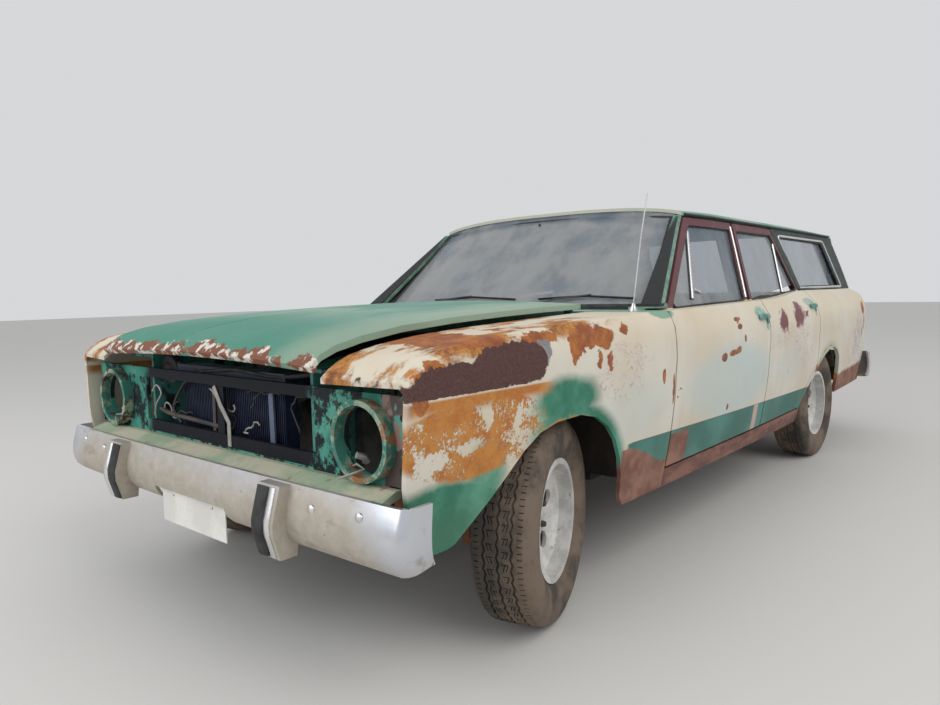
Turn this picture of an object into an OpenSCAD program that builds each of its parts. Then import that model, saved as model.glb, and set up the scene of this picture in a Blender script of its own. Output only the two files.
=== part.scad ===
// Weathered station wagon, stripped of its grille and headlamps.
// Millimetres. +X is forward, +Y is the car's left, +Z is up. The origin is on the ground, under the middle.

/* [Body] */
// Half the width of the body at its side crease
half_w = 928; // [780:1:1120]
// Height of the roof above the belt line
roof_rise = 420; // [350:1:510]
// Height of the side crease above the ground
crease_z = 770; // [740:1:800]
// Depth of a door from its crease to its inner face
door_t = 140; // [110:1:170]
// Thickness of a single panel such as a wing or the roof
panel_t = 16; // [10:1:20]
// Shut line between a moving panel and its neighbour
shut_gap = 8; // [7:0.5:12]
// Width of a door's window frame
frame_w = 34; // [26:1:42]
// Thickness of the window glass
glass_t = 5; // [4:0.5:6]

/* [Wheels] */
// Distance between the axles
wheelbase = 2819; // [2760:1:2860]
// Front axle ahead of the middle of the car
front_axle_x = 1622; // [1590:1:1640]
// Outer radius of a tyre
tyre_r = 318; // [265:1:382]
// Width of a tyre
tyre_w = 196; // [163:1:236]
// Radius of the rim where the tyre's bead sits
rim_r = 178; // [165:1:186]
// Steer of the front wheels to the left as the car stands, in degrees
steer_rest = 17; // [0:1:25]

/* [Interior] */
// Radius of the steering wheel
steering_wheel_r = 200; // [170:1:240]
// Thickness of a bench seat's cushion
cushion_h = 170; // [140:1:200]

/* [Hidden] */
$fn = 48;

hinge_r = 6;
seat_gap = 0.3;                       // running gap of what rests on or in its neighbour
rear_axle_x = front_axle_x - wheelbase;
half_track = half_w - 176;
kingpin_y = half_track - 97;
axle_z = tyre_r;

// Stations along the car
nose_x = 2262;
bumper_front_x = 2350;
cowl_x = 1085;
door_front_x = 938;
shut_b_x = -56;
shut_c_x = -925;
tail_x = -2284;
widest_x = 200;
wing_rear_x = door_front_x + shut_gap;

// Heights
sill_z = 288;
door_low_z = 366;
floor_z = 312;
load_floor_z = 520;
belt_z0 = 955;
rail_z = belt_z0 + roof_rise - 23;
frame_top_z = rail_z - panel_t - shut_gap;
window_top_z = frame_top_z - frame_w;

// Plan and section of the body side
nose_taper = 43;
tail_taper = 70;
belt_in = 100;
turn_under = 38;
turn_z = 700;
function smooth(t) = let (c = min(1, max(0, t))) c * c * (3 - 2 * c);
function mix(a, b, t) = a + (b - a) * t;
function plan_w(x) = x > widest_x
    ? half_w - nose_taper * pow((x - widest_x) / (nose_x - widest_x), 2)
    : half_w - tail_taper * pow((widest_x - x) / (widest_x - tail_x), 2);
function lean(z) = z >= crease_z
    ? let (t = (z - crease_z) / 162) 5 * t + 24 * pow(t, 4)
    : 4 * smooth((crease_z - z) / 30) + turn_under * pow(max(0, turn_z - z) / 310, 1.5);
function side_y(x, z) = plan_w(x) - lean(z);
// The belt climbs gently to the middle, kicks up at the rear door and falls away at the tail
function belt_z(x) = 940 + 0.017 * (door_front_x - min(door_front_x, max(-850, x)))
    + 22 * smooth((-250 - x) / 600) - 50 * smooth((-2140 - x) / 180);

// Side glass leans in from the belt to the roof rail
function rail_y(x) = half_w - 228 - 22 * smooth((x - 100) / 350) - 12 * smooth((-1200 - x) / 800);
function green_y(x, z) = mix(plan_w(x) - belt_in, rail_y(x), (z - belt_z0) / (rail_z - belt_z0));

// Upper lines of the wing and the bonnet, read along the car
WING_TOP = [
    [930, 943], [1087, 941], [1476, 929], [1768, 918], [1967, 907], [2102, 892],
    [2182, 876], [2235, 852], [2262, 822], [2302, 786]
];
BONNET_TOP = [
    [1085, 971], [1336, 967], [1560, 961], [1800, 951], [2005, 937], [2150, 918],
    [2230, 900], [2275, 880], [2300, 858], [2312, 842]
];
FRONT_ARCH = [
    [1255, 290], [1275, 400], [1300, 470], [1345, 540], [1400, 592], [1470, 632], [1560, 652],
    [1680, 648], [1760, 630], [1830, 590], [1953, 486], [2077, 392], [2090, 385]
];
REAR_ARCH = [
    [-1528, 345], [-1522, 430], [-1500, 520], [-1469, 583], [-1387, 630], [-1298, 648], [-1190, 644],
        [-1100, 622],
    [-1001, 584], [-905, 530], [-820, 475], [-755, 430], [-705, 390], [-680, 345], [-672, 300]
];
arch_lip = 46;
bonnet_half_w = half_w - 320;
wing_inner_y = bonnet_half_w + 12;

// A closed shell between two grids of points. outer and inner take the two grid positions, from 0 to 1.
module skin(nu, nv, outer, inner) {
    m = (nu + 1) * (nv + 1);
    points = [
        for (i = [0:nu]) for (j = [0:nv]) outer(i / nu, j / nv),
        for (i = [0:nu]) for (j = [0:nv]) inner(i / nu, j / nv)
    ];
    at = function (i, j, side) side * m + i * (nv + 1) + j;
    quad = function (p, q, r, s) [[p, q, r], [p, r, s]];
    faces = [
        for (i = [0:nu - 1]) for (j = [0:nv - 1]) each concat(
            quad(at(i, j, 0), at(i + 1, j, 0), at(i + 1, j + 1, 0), at(i, j + 1, 0)),
            quad(at(i, j, 1), at(i, j + 1, 1), at(i + 1, j + 1, 1), at(i + 1, j, 1))
        ),
        for (i = [0:nu - 1]) each concat(
            quad(at(i, 0, 0), at(i, 0, 1), at(i + 1, 0, 1), at(i + 1, 0, 0)),
            quad(at(i, nv, 0), at(i + 1, nv, 0), at(i + 1, nv, 1), at(i, nv, 1))
        ),
        for (j = [0:nv - 1]) each concat(
            quad(at(0, j, 0), at(0, j + 1, 0), at(0, j + 1, 1), at(0, j, 1)),
            quad(at(nu, j, 0), at(nu, j, 1), at(nu, j + 1, 1), at(nu, j + 1, 0))
        )
    ];
    // the same faces serve either way round, so the middle cell tells which side is out
    i = floor(nu / 2);
    j = floor(nv / 2);
    p = points[at(i, j, 0)];
    normal = cross(points[at(i + 1, j, 0)] - p, points[at(i, j + 1, 0)] - p);
    turned = normal * (p - points[at(i, j, 1)]) > 0;
    polyhedron(points, [for (f = faces) turned ? [f[0], f[2], f[1]] : f], convexity = 10);
}

// A stretch of the body side between stations xs, from height low(x) to high(x), t deep from the crease.
// inset draws the inner face in at both ends and lift draws it up at the bottom, so that a door can swing out.

module side_wall(xs, low, high, t, inset = 0, lift = 0, flat_inner = true) {
    nu = len(xs) - 1;
    nv = 10;
    level = function (x, b) b <= 0.7
        ? mix(low(x), min(crease_z, high(x)), b / 0.7)
        : mix(min(crease_z, high(x)), high(x), (b - 0.7) / 0.3);
    skin(nu, nv,
        function (a, b) let (x = xs[round(a * nu)], z = level(x, b)) [x, side_y(x, z), z],
        function (a, b) let (
            x0 = xs[round(a * nu)],
            x = x0 - (a == 0 ? inset : a == 1 ? -inset : 0),
            z = level(x0, b) + (b == 0 ? lift : 0)
        ) [x, flat_inner ? half_w - t : side_y(x0, z) - t, z]);
}

// A four-cornered pane or pillar on the leaning glass surface.
// Corners are [x, z]: low rear, low front, top front, top rear. draft draws in the inner face at the rear.
module side_patch(c, t, sink = 0, nu = 3, nv = 3, draft = 0) {
    corner = function (a, b) mix(mix(c[0], c[1], a), mix(c[3], c[2], a), b);
    skin(nu, nv,
        function (a, b) let (p = corner(a, b)) [p[0], green_y(p[0], p[1]) - sink, p[1]],
        function (a, b) let (p = corner(a, b), q = p + [a == 0 ? draft : 0, 0])
            [q[0], green_y(q[0], q[1]) - sink - t, q[1]]);
}

module both_sides() {
    children();
    mirror([0, 1, 0]) children();
}

// ---------------------------------------------------------------- doors and their frames

// The door's lower edge stands clear of the lip round the wheel arch
door_lift = 36;
function door_low(x) = max(door_low_z, lookup(x, REAR_ARCH) + (x < -672 ? arch_lip : -200));
front_door_xs = [door_front_x, 800, 600, 400, 200, 60, shut_b_x + shut_gap / 2];
rear_door_xs = [shut_b_x - shut_gap / 2, -250, -450, -640, -673, -705, -755, -820, -875, shut_c_x];

// Window openings, as [x, z] corners: low rear, low front, top front, top rear
window_low_z = belt_z0 + 13;
front_window = [[6, window_low_z], [752, window_low_z], [352, window_top_z], [-73, window_top_z]];
rear_window = [[-838, 1000], [-88, window_low_z], [-158, window_top_z], [-660, window_top_z]];

// The rim of steel round a window, w wide, standing on the door's top. draft draws in the rear
// upright's inner edge, because that edge swings rearwards as the door opens.
function extended(p, q, d) = p + (p - q) * (d / (q[1] - p[1]));
// top_w is the width of the front upright at its top, and corner is how far its top corner is cut back.
module window_frame(c, w, front_w, top_w, corner, t, draft) {
    foot = 34;
    rear = extended(c[0], c[3], foot);
    front = extended(c[1], c[2], foot);
    side_patch([rear - [w, 0], rear, c[3] + [0, 1], c[3] + [-w, 1]], t, 0, 1, 6, draft);
    side_patch([front, front + [front_w, 0], c[2] + [top_w, 1], c[2] + [0, 1]], t, 0, 1, 6);
    side_patch([c[3] - [w, 0], c[2] + [top_w, 0], c[2] + [top_w - corner, w], c[3] + [-w, w]], t, 0, 6,
        1, draft);
}
module door(xs, window, front_w, top_w, corner, draft) {
    side_wall(xs, function (x) door_low(x), function (x) belt_z(x), door_t, 10, door_lift);
    window_frame(window, frame_w, front_w, top_w, corner, 30, draft);
}
module front_door() { color("ivory") door(front_door_xs, front_window, frame_w + 10, frame_w + 28, 40, 9); }
module rear_door() { color("ivory") door(rear_door_xs, rear_window, frame_w - 12, frame_w - 4, 0, 15); }

module pane(c) {
    // the pane fills its frame, less a running gap, and starts just above the door's top
    rear = extended(c[0], c[3], window_low_z - belt_z(c[0][0]) - seat_gap);
    front = extended(c[1], c[2], c[1][1] - belt_z(c[1][0]) - 4);
    g = seat_gap;
    side_patch([rear + [g, 0], front - [2 * g, 0], c[2] - [2 * g, g], c[3] + [g, -g]], glass_t, 12, 4, 4);
}
module front_pane() { color([0.5, 0.55, 0.6]) pane(front_window); }
module rear_pane() { color([0.5, 0.55, 0.6]) pane(rear_window); }

// ---------------------------------------------------------------- fixed body

module quarter_panel() {
    shelf = function (a, b) let (x = mix(tail_x + 1, shut_c_x - shut_gap - 1, a), z = belt_z(x))
        [x, mix(side_y(x, z) - 3, green_y(x, z) - 54, b), z];
    strip_xs = [-673, -705, -755, -820, -875, shut_c_x - shut_gap - 1];
    color("ivory") {
        side_wall(
            [shut_c_x - shut_gap, -1001, -1100, -1190, -1298, -1387, -1469, -1500, -1522, -1528, -1700,
                -1900, -2140, -2230, tail_x],
            function (x) x < -1528 ? quarter_low_z : lookup(x, REAR_ARCH), function (x) belt_z(x), 20,
                0, 0, false
        );
        side_wall(strip_xs,
            function (x) lookup(x, REAR_ARCH), function (x) door_low(x) - shut_gap, 20, 0, 0, false);
        // shelf from the belt in to the feet of the pillars
        skin(8, 1,
            function (a, b) shelf(a, b) - [0, 0, 0.1], function (a, b) shelf(a, b) - [0, 0, 12]);
        // return round the rear corner, which carries the tail lamps
        translate([tail_x, gate_half_w + shut_gap, gate_low_z])
            cube([24, plan_w(tail_x) - 30 - gate_half_w - shut_gap, belt_z(tail_x) - 30 - gate_low_z]);
    }
}
quarter_low_z = 345;

// Pillars, roof rails and sills of the left side
quarter_window = [[-1868, 1004], [-934, 1004], [-800, window_top_z], [-1672, window_top_z]];
post_y = half_w - door_t - 16;
post_t = 50;
post_z = sill_z + 40;
module side_frame() {
    q = quarter_window;
    top = rail_z - panel_t - seat_gap;
    shelf_z = belt_z(-1000) + seat_gap;
    color("seagreen") {
        // rear pillar, the rail under the quarter window, and the pillar behind the rear door
        side_patch([
            [-2236, belt_z(-2140) + seat_gap], extended(q[0], q[3], q[0][1] - shelf_z), q[3] + [0, 1],
                [-1975, window_top_z + 1]
        ], post_t, 0, 2, 4);
        side_patch([[q[0][0] - 2, shelf_z], [shut_c_x - shut_gap, shelf_z], [shut_c_x - shut_gap,
            q[1][1]], q[0] - [2, 0]], 44, 0, 8, 1);
        side_patch([q[1] - [14, 4], [-884, 1000], [-702, window_top_z + 1], q[2] + [0, 1]], 44, 0, 1, 4);
        // rail over the quarter window
        side_patch([[-1975, window_top_z], [-702, window_top_z], [-702, top], [-1975, top]], post_t, 0, 6, 1);
        // inner rail above the doors
        side_patch([[-720, window_top_z + 4], [386, window_top_z + 4], [386, top], [-720, top]], 34, 40,
            6, 1);
        windscreen_pillar();
        // post between the doors, inboard of both, and its upper half
        side_patch([[-96, 962], [-16, 962], [-80, top - 1], [-160, top - 1]], 30, 46, 1, 4);
        post(-120, 100, 970);
        door_hinges(shut_b_x - 29);
        // post in front of the front door, and its shoulder under the windscreen pillar
        post(790, 135, cowl_top_z);
        translate([832, post_y - post_t - 16, cowl_top_z]) cube([73, post_t + 20, 23]);
        translate([832, post_y, cowl_top_z + 6]) cube([73, 832 - post_y, 17]);
        door_hinges(door_front_x - 25);
    }
    color("brown")
        side_wall([wing_rear_x - 1, 600, 200, 0, -400, -664], function (x) sill_z,
            function (x) door_low_z - shut_gap, 190);
}
module post(x, w, top) {
    translate([x, post_y - post_t, post_z]) cube([w, post_t, top - post_z]);
}
// Fixed leaves of a door's two hinges, which reach from the post to the door's inner face
module door_hinges(axis_x) {
    for (z = [470, 790])
        translate([axis_x - 36, post_y - 1, z]) cube([17, half_w - door_t - seat_gap - post_y + 1, 60]);
}
// An inclined bar from the shoulder of the post to the front corner of the roof
module windscreen_pillar() {
    low = 950;
    top = rail_z - panel_t - seat_gap;
    front_x = [888, 412];
    rear_x = [830, 380];
    at = function (a, b, depth) let (
        z = mix(low, top, b),
        x = (a == 0 ? mix(front_x[0], front_x[1], b) : mix(rear_x[0], rear_x[1], b)) - 3 * depth / post_t
    ) [x, depth == 0 ? green_y(min(x, 700), z) - 4 : screen_half(z) + seat_gap, z];
    skin(1, 6, function (a, b) at(a, b, 0), function (a, b) at(a, b, post_t));
}
module pillars_and_sills() { both_sides() side_frame(); }

// Height of the roof above its gutter, along and across
function roof_top(x) = rail_z + 45 + 20 * smooth((400 - x) / 550) - 30 * smooth((-1000 - x) / 1000);
function roof_front(y) = 430 - 46 * pow(y / (half_w - 250), 2);
function roof_z(x, y) = let (s = min(1, abs(y) / (rail_y(x) + 2)))
    rail_z + (roof_top(x) - rail_z) * pow(1 - pow(s, 3), 0.75);
module roof_panel() {
    at = function (a, b, drop) let (
        s0 = 2 * b - 1,
        s = sign(s0) * (1 - pow(1 - abs(s0), 1.5)),
        y0 = s * (half_w - 240),
        x = mix(roof_front(y0), -1990 + 24 * s * s, a),
        y = s * (rail_y(x) + 2)
    ) [x, y, roof_z(x, y) - drop];
    color("darkseagreen") skin(16, 18,
        function (a, b) at(a, b, 0), function (a, b) at(a, b, panel_t));
}

// Windscreen and the two panes behind the rear doors
function screen_half(z) = half_w - 184 - 90 * (z - cowl_top_z) / (rail_z - cowl_top_z);
module windscreen() {
    outer = function (a, b) let (
        s = 2 * a - 1,
        top_x = roof_front(s * screen_half(rail_z)) - 2,
        top_z = roof_z(top_x, s * screen_half(rail_z)) - panel_t - 1,
        z = mix(cowl_top_z + 4 + seat_gap, top_z, b)
    ) [mix(900 - 100 * s * s, top_x, b), s * screen_half(z), z];
    skin(12, 6, outer, function (a, b) outer(a, b) - [5, 0, 4]);
}
module fixed_glass() {
    q = quarter_window;
    g = seat_gap;
    color([0.5, 0.55, 0.6]) {
        windscreen();
        both_sides() side_patch([
            q[0] + [2 * g, g], q[1] + [-14 - g, g], q[2] + [-4 * g, -g], q[3] + [2 * g, -g]
        ], glass_t, 12, 5, 3);
    }
}

module floor_pan() {
    half = half_w - 190 - seat_gap;
    color("saddlebrown") {
        difference() {
            union() {
                rotate([90, 0, 0]) translate([0, 0, -half]) linear_extrude(2 * half) polygon([
                    [1057, 570], [960, floor_z], [-620, floor_z], [-700, load_floor_z],
                    [tail_x + 20, load_floor_z], [tail_x + 20, load_floor_z - 12], [-708, load_floor_z - 12],
                    [-628, floor_z - 12], [966, floor_z - 12], [1066, 566], [1066, 570]
                ]);
                translate([-680, -tunnel_w / 2, floor_z - 6]) cube([1690, tunnel_w, tunnel_h + 6]);
            }
            translate([-720, -tunnel_w / 2 + 12, floor_z - 40]) cube([1900, tunnel_w - 24, tunnel_h + 28]);
            both_sides() wheel_well(0);
        }
        // rear cross panel below the tailgate, and the stands of the tailgate's hinges
        translate([tail_x, -(half_w - 150), 330]) cube([28, 2 * (half_w - 150), load_floor_z - 6 - 330]);
        both_sides() {
            translate([gate_hinge_x, 400, load_floor_z - 12]) cube([14, 60, gate_hinge_z -
                load_floor_z + 12]);
            translate([gate_hinge_x, 460, gate_hinge_z]) rotate([90, 0, 0]) cylinder(h = 60, r = hinge_r);
        }
        both_sides() rear_wheelhouse();
        // chassis rails
        both_sides() translate([tail_x + 27, rail_y0, rear_rail_z]) cube([1500, 60, load_floor_z - 6 -
            rear_rail_z]);
        both_sides() translate([-440, rail_y0, floor_z - 62]) cube([1340, 60, 56]);
    }
}
tunnel_w = 260;
tunnel_h = 150;
rear_rail_z = 440;
rail_y0 = 470;
well_r = tyre_r + 30;
well_inner_y = half_track - tyre_w / 2 - 34;
well_outer_y = half_track + tyre_w / 2 + 6;
// The room a rear wheel turns in, grown by the thickness of its housing
module wheel_well(grow) {
    translate([rear_axle_x, well_inner_y + 8 - grow, axle_z]) rotate([-90, 0, 0])
        cylinder(h = well_outer_y + 60 - well_inner_y, r = well_r + grow);
}
module rear_wheelhouse() {
    difference() {
        intersection() {
            wheel_well(8);
            translate([rear_axle_x - 500, 0, load_floor_z - 12]) cube([1000, well_outer_y, 500]);
        }
        wheel_well(0);
    }
}

cowl_top_z = 943;
firewall_x = 1058;
firewall_t = 15;
module cowl_and_firewall() {
    wide = post_y - post_t - 6;
    narrow = wing_inner_y - 6;
    color("darkseagreen") {
        translate([880, -wide, cowl_top_z - panel_t]) cube([wing_rear_x - seat_gap - 880, 2 * wide, panel_t]);
        translate([900, -narrow, cowl_top_z - panel_t]) cube([cowl_x - 14 - 900, 2 * narrow, panel_t]);
        translate([880, -wide, cowl_top_z - panel_t - 60]) cube([30, 2 * wide, 61]);
    }
    color("teal")
        translate([firewall_x, -narrow, 570 + seat_gap])
            cube([firewall_t, 2 * narrow, cowl_top_z - panel_t + 1 - 570 - seat_gap]);
}

// Wing: the side from the arch to the shoulder, then the top in to the bonnet gap
module front_wing() {
    nu = 24;
    xs = [
        wing_rear_x, 1050, 1150, 1230, 1262, 1275, 1300, 1345, 1400, 1470, 1560, 1680, 1760, 1830,
        1890, 1953, 2015, 2077, 2110, 2150, 2190, 2220, 2245, 2256, 2262
    ];
    low = function (x) x < 1255 ? sill_z : x > 2090 ? 385 : lookup(x, FRONT_ARCH);
    front_shift = function (a, y, z) a < 0.7 ? 0
        : smooth((a - 0.7) / 0.3) * (38 * min(1, max(0, (half_w - 48 - y) / 280)) - 55 * smooth((600 -
            z) / 220));
    section = function (a, b, t) let (
        x0 = xs[round(a * nu)],
        shoulder = lookup(x0, WING_TOP) - 14,
        cz = min(crease_z, shoulder - 6),
        z = b <= 0.5 ? mix(low(x0), cz, b / 0.5) : b <= 0.7 ? mix(cz, shoulder, (b - 0.5) / 0.2) :
            lookup(x0, WING_TOP) - (b < 0.75 ? 3 : 0),
        y_out = side_y(x0, min(z, shoulder)),
        y = b <= 0.7 ? y_out : mix(side_y(x0, shoulder) - 16, wing_inner_y, (b - 0.75) / 0.25),
        x = x0 + front_shift(a, y, z)
    ) b <= 0.7 ? [x, y - t, z - (b > 0.65 ? t * 0.8 : 0)] : [x, y - (b < 0.8 ? t * 0.6 : 0), z - t];
    color("ivory") skin(nu, 20, function (a, b) section(a, b, 0), function (a, b) section(a, b, panel_t - 2));
}

apron_y = kingpin_y - 205;
apron_rail_z = 400;
support_x = 2201;
module apron() {
    x0 = firewall_x + firewall_t + seat_gap;
    x1 = support_x - seat_gap;
    top = function (x) lookup(x, WING_TOP) - panel_t + 1.6;
    // the flange dips under the bonnet's edge, then rises to meet the wing
    flange = function (a, b) let (x = mix(x0, x1, a))
        b < 1 ? [x, mix(apron_y, bonnet_half_w + 5, 2 * b), top(x) - 26] : [x, wing_inner_y + 14, top(x)];
    color("teal") {
        skin(12, 1,
            function (a, b) let (x = mix(x0, x1, a)) [x, apron_y + 12, b == 0 ? 420 : top(x) - 27],
            function (a, b) let (x = mix(x0, x1, a)) [x, apron_y, b == 0 ? 420 : top(x) - 27]);
        skin(12, 2, flange, function (a, b) flange(a, b) - [0, 0, 10]);
        // spring tower, chassis rail under the apron, and the stand of the bonnet's hinge
        translate([front_axle_x - 110, apron_y - 90, 560]) cube([220, 91, 270]);
        translate([x0, apron_y - 60, apron_rail_z]) cube([x1 - x0, 72, 80]);
        translate([bonnet_hinge_x, 545, bonnet_hinge_z - 54]) cube([2 * hinge_r, 30, 54]);
        translate([bonnet_hinge_x, 575, bonnet_hinge_z]) rotate([90, 0, 0]) cylinder(h = 30, r = hinge_r);
    }
}
module inner_aprons() { both_sides() apron(); }

lamp_y = half_w - 236;
lamp_z = 664;
lamp_r = 90;
module radiator_support() {
    x = support_x;
    color("seagreen") {
        difference() {
            translate([x, -(half_w - 76), 560]) cube([14, 2 * (half_w - 76), 222]);
            translate([x - 1, -480, 600]) cube([20, 960, 150]);
            for (s = [-1, 1]) translate([x - 1, s * lamp_y, lamp_z]) rotate([0, 90, 0]) cylinder(h = 20,
                r = lamp_r);
        }
        for (s = [-1, 1]) translate([x + 13, s * lamp_y, lamp_z]) rotate([0, 90, 0]) difference() {
            cylinder(h = 34, r = lamp_r + 14);
            translate([0, 0, -1]) cylinder(h = 40, r = lamp_r);
        }
        // lower cross member that carries the radiator and the valance
        translate([2120, -apron_y + seat_gap, 480]) cube([95, 2 * (apron_y - seat_gap), 81]);
        translate([x, -(half_w - 160), 480]) cube([14, 2 * (half_w - 160), 81]);
        // centre stay for the bonnet catch
        translate([x, -20, 559]) cube([10, 40, 203]);
    }
}

module radiator() {
    color("darkslategray") {
        translate([2128, -290, 561 + seat_gap]) cube([46, 580, 190]);
        translate([2118, -310, 751]) cube([66, 620, 50]);
    }
}

module engine_block() {
    color("dimgray") translate([1180, -200, 430]) cube([760, 400, 390]);
    color("dimgray") both_sides() translate([1560, 199, 440]) cube([60, apron_y - 60 - 199 - seat_gap, 40]);
}

module front_valance() {
    color("darkseagreen") rotate([90, 0, 0]) translate([0, 0, -(half_w - 120)]) linear_extrude(2 *
        (half_w - 120))
        polygon([[2215 + seat_gap, 556], [2215 + seat_gap, 536], [2284, 522], [2290, 526], [2290, 534],
            [2232, 556]]);
}

// A bumper bar swept across the car, with its ends wrapped back. a runs along it and b up it.
module bumper_bar(front_x, facing, half, low_z, corner_r = 34, wrap_depth = 84) {
    bar = function (a, b, inner) let (
        wrap = a < 0.15 ? (0.15 - a) / 0.15 : a > 0.85 ? (a - 0.85) / 0.15 : 0,
        side = a < 0.5 ? -1 : 1,
        turn = 90 * min(1, wrap * 1.5),
        y_mid = (a - 0.5) / 0.35 * (half - corner_r),
        y = wrap == 0 ? y_mid : side * (half - corner_r * (1 - sin(turn))),
        back = wrap == 0 ? 0 : corner_r * (1 - cos(turn)) + max(0, wrap - 0.667) * 3 * (wrap_depth -
            corner_r),
        bow = 14 * pow(min(half - corner_r, abs(y)) / half, 2),
        bulge = 30 * sin(180 * pow(b, 0.7)) - 12 * (1 - b),
        t = inner ? 12 : 0
    ) [
        front_x - facing * (34 + bow + back - bulge * (1 - 0.4 * wrap) + (wrap > 0.4 ? 0 : t)),
        y - (wrap > 0.4 ? side * t : 0) + side * wrap * 0.3 * bulge,
        mix(low_z + 16 * wrap, 545, b)
    ];
    skin(40, 8, function (a, b) bar(a, b, false), function (a, b) bar(a, b, true));
}
module front_bumper() {
    color("silver") {
        difference() {
            bumper_bar(bumper_front_x, 1, half_w - 12, 382);
            translate([2240, -plate_w / 2 - 20, 300]) cube([200, plate_w + 40, 128]);
        }
        // overriders
        both_sides() translate([bumper_front_x - 60, 500, 350]) rotate([90, 0, 0]) linear_extrude(94)
            polygon([[10, 0], [62, 0], [82, 70], [82, 100], [56, 192], [10, 192], [0, 90]]);
        // brackets back to the cross member
        both_sides() translate([2215 + seat_gap, 330, 484]) cube([104, 60, 30]);
        // plate bracket with its two screw holes
        difference() {
            union() {
                translate([2304, -plate_w / 2 + 20, 396]) cube([12, plate_w - 40, 80]);
                translate([2304, -plate_w / 2 + 20, 440]) cube([25, plate_w - 40, 36]);
            }
            for (s = [-1, 1]) translate([2290, s * plate_hole_y, 408]) rotate([0, 90, 0]) cylinder(h =
                40, r = plate_hole_r);
        }
    }
}
plate_w = 372;
plate_h = 108;
plate_hole_y = 115;
plate_hole_r = 4;
module number_plate() {
    color("lightgray") difference() {
        translate([2316 + seat_gap, -plate_w / 2, 426 - plate_h]) cube([3, plate_w, plate_h]);
        for (s = [-1, 1]) translate([2290, s * plate_hole_y, 408]) rotate([0, 90, 0]) cylinder(h = 60,
            r = plate_hole_r);
    }
}

module rear_bumper() {
    color("silver") {
        bumper_bar(-bumper_front_x - 32, -1, half_w - 46, 362);
        both_sides() translate([-2360, 380, 440]) cube([tail_x - seat_gap + 2360, 60, 30]);
    }
}

// ---------------------------------------------------------------- bonnet and tailgate

function bonnet_z(x, s) = lookup(x, BONNET_TOP) + 16 * (1 - s * s);
bonnet_hinge_x = 1094;
bonnet_hinge_z = 946.2;
module bonnet() {
    xs = [1085, 1210, 1336, 1450, 1560, 1680, 1800, 1900, 2005, 2080, 2150, 2200, 2230, 2255, 2275,
        2290, 2300, 2308];
    at = function (a, b, t) let (
        s = 2 * b - 1,
        x = xs[round(a * 17)],
        hw = bonnet_half_w - 14 * smooth((x - 2180) / 130)
    ) [x - (t > 0 && a > 0.93 ? t * 0.7 : 0), s * hw, bonnet_z(x, s) - t * (a > 0.93 ? 0.8 : 1)];
    color("seagreen") skin(17, 16, function (a, b) at(a, b, 0), function (a, b) at(a, b, 20));
}

gate_half_w = half_w - 278;
gate_low_z = 563;
gate_hinge_x = tail_x + hinge_r;
gate_hinge_z = gate_low_z - hinge_r - seat_gap;
gate_t = 56;
gate_top_z = 952;
module tailgate() {
    color("ivory") difference() {
        translate([tail_x, -gate_half_w, gate_low_z]) cube([gate_t, 2 * gate_half_w, gate_top_z -
            gate_low_z]);
        // slot that the wound-down glass stands in
        translate([tail_x + 22, -gate_half_w + 40, gate_top_z - 60]) cube([glass_t + 2 * seat_gap, 2 *
            gate_half_w - 80, 80]);
    }
}
module tailgate_glass() {
    color([0.5, 0.55, 0.6])
        translate([tail_x + 22 + seat_gap, -gate_half_w + 42, gate_top_z - 60 + seat_gap])
            cube([glass_t, 2 * gate_half_w - 84, 84]);
}

// ---------------------------------------------------------------- cabin

module dashboard() {
    half = post_y - post_t - 6;
    color("black") {
        rotate([90, 0, 0]) translate([0, 0, -half]) linear_extrude(2 * half) polygon([
            [880 - seat_gap, 930], [790, 938], [690, 930], [650, 890], [655, 780],
            [700, 720], [760, 700], [880 - seat_gap, 760]
        ]);
        // fixed tube that carries the steering wheel
        column_frame() translate([0, 0, -320]) cylinder(h = 320 - 60 - seat_gap, r = 30);
    }
}

// One bench: a cushion and a leaning back, on two legs
module bench(x_front, depth, back_h, leg_x) {
    z0 = floor_z + tunnel_h + seat_gap;
    y_half = half_w - 250;
    rotate([90, 0, 0]) translate([0, 0, -y_half]) linear_extrude(2 * y_half) polygon([
        [x_front, z0], [x_front + 6, z0 + cushion_h - 30], [x_front - 20, z0 + cushion_h],
        [x_front - depth + 90, z0 + cushion_h - 26], [x_front - depth - 20, z0 + back_h],
        [x_front - depth - 90, z0 + back_h], [x_front - depth - 20, z0 + 10], [x_front - depth - 10, z0]
    ]);
    both_sides() translate([leg_x, 300, floor_z + seat_gap]) cube([200, 60, tunnel_h + 1]);
}
module bench_seats() {
    color("dimgray") {
        bench(560, 480, 570, 200);
        bench(-200, 380, 500, -520);
    }
}

// The steering column slopes down and forward from the wheel's hub
column_tilt = 62;
wheel_hub = [470, -(half_w - 558), 858];
module column_frame() {
    translate(wheel_hub) rotate([0, -column_tilt, 0]) children();
}
module steering_wheel() {
    color("black") column_frame() {
        rotate_extrude() translate([steering_wheel_r, 0]) circle(r = 12);
        translate([0, 0, -60]) cylinder(h = 84, r = 38);
        for (a = [0, 120, 240]) rotate([0, 0, a]) translate([0, -12, -6]) cube([steering_wheel_r - 4,
            24, 10]);
    }
}

// ---------------------------------------------------------------- running gear

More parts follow.
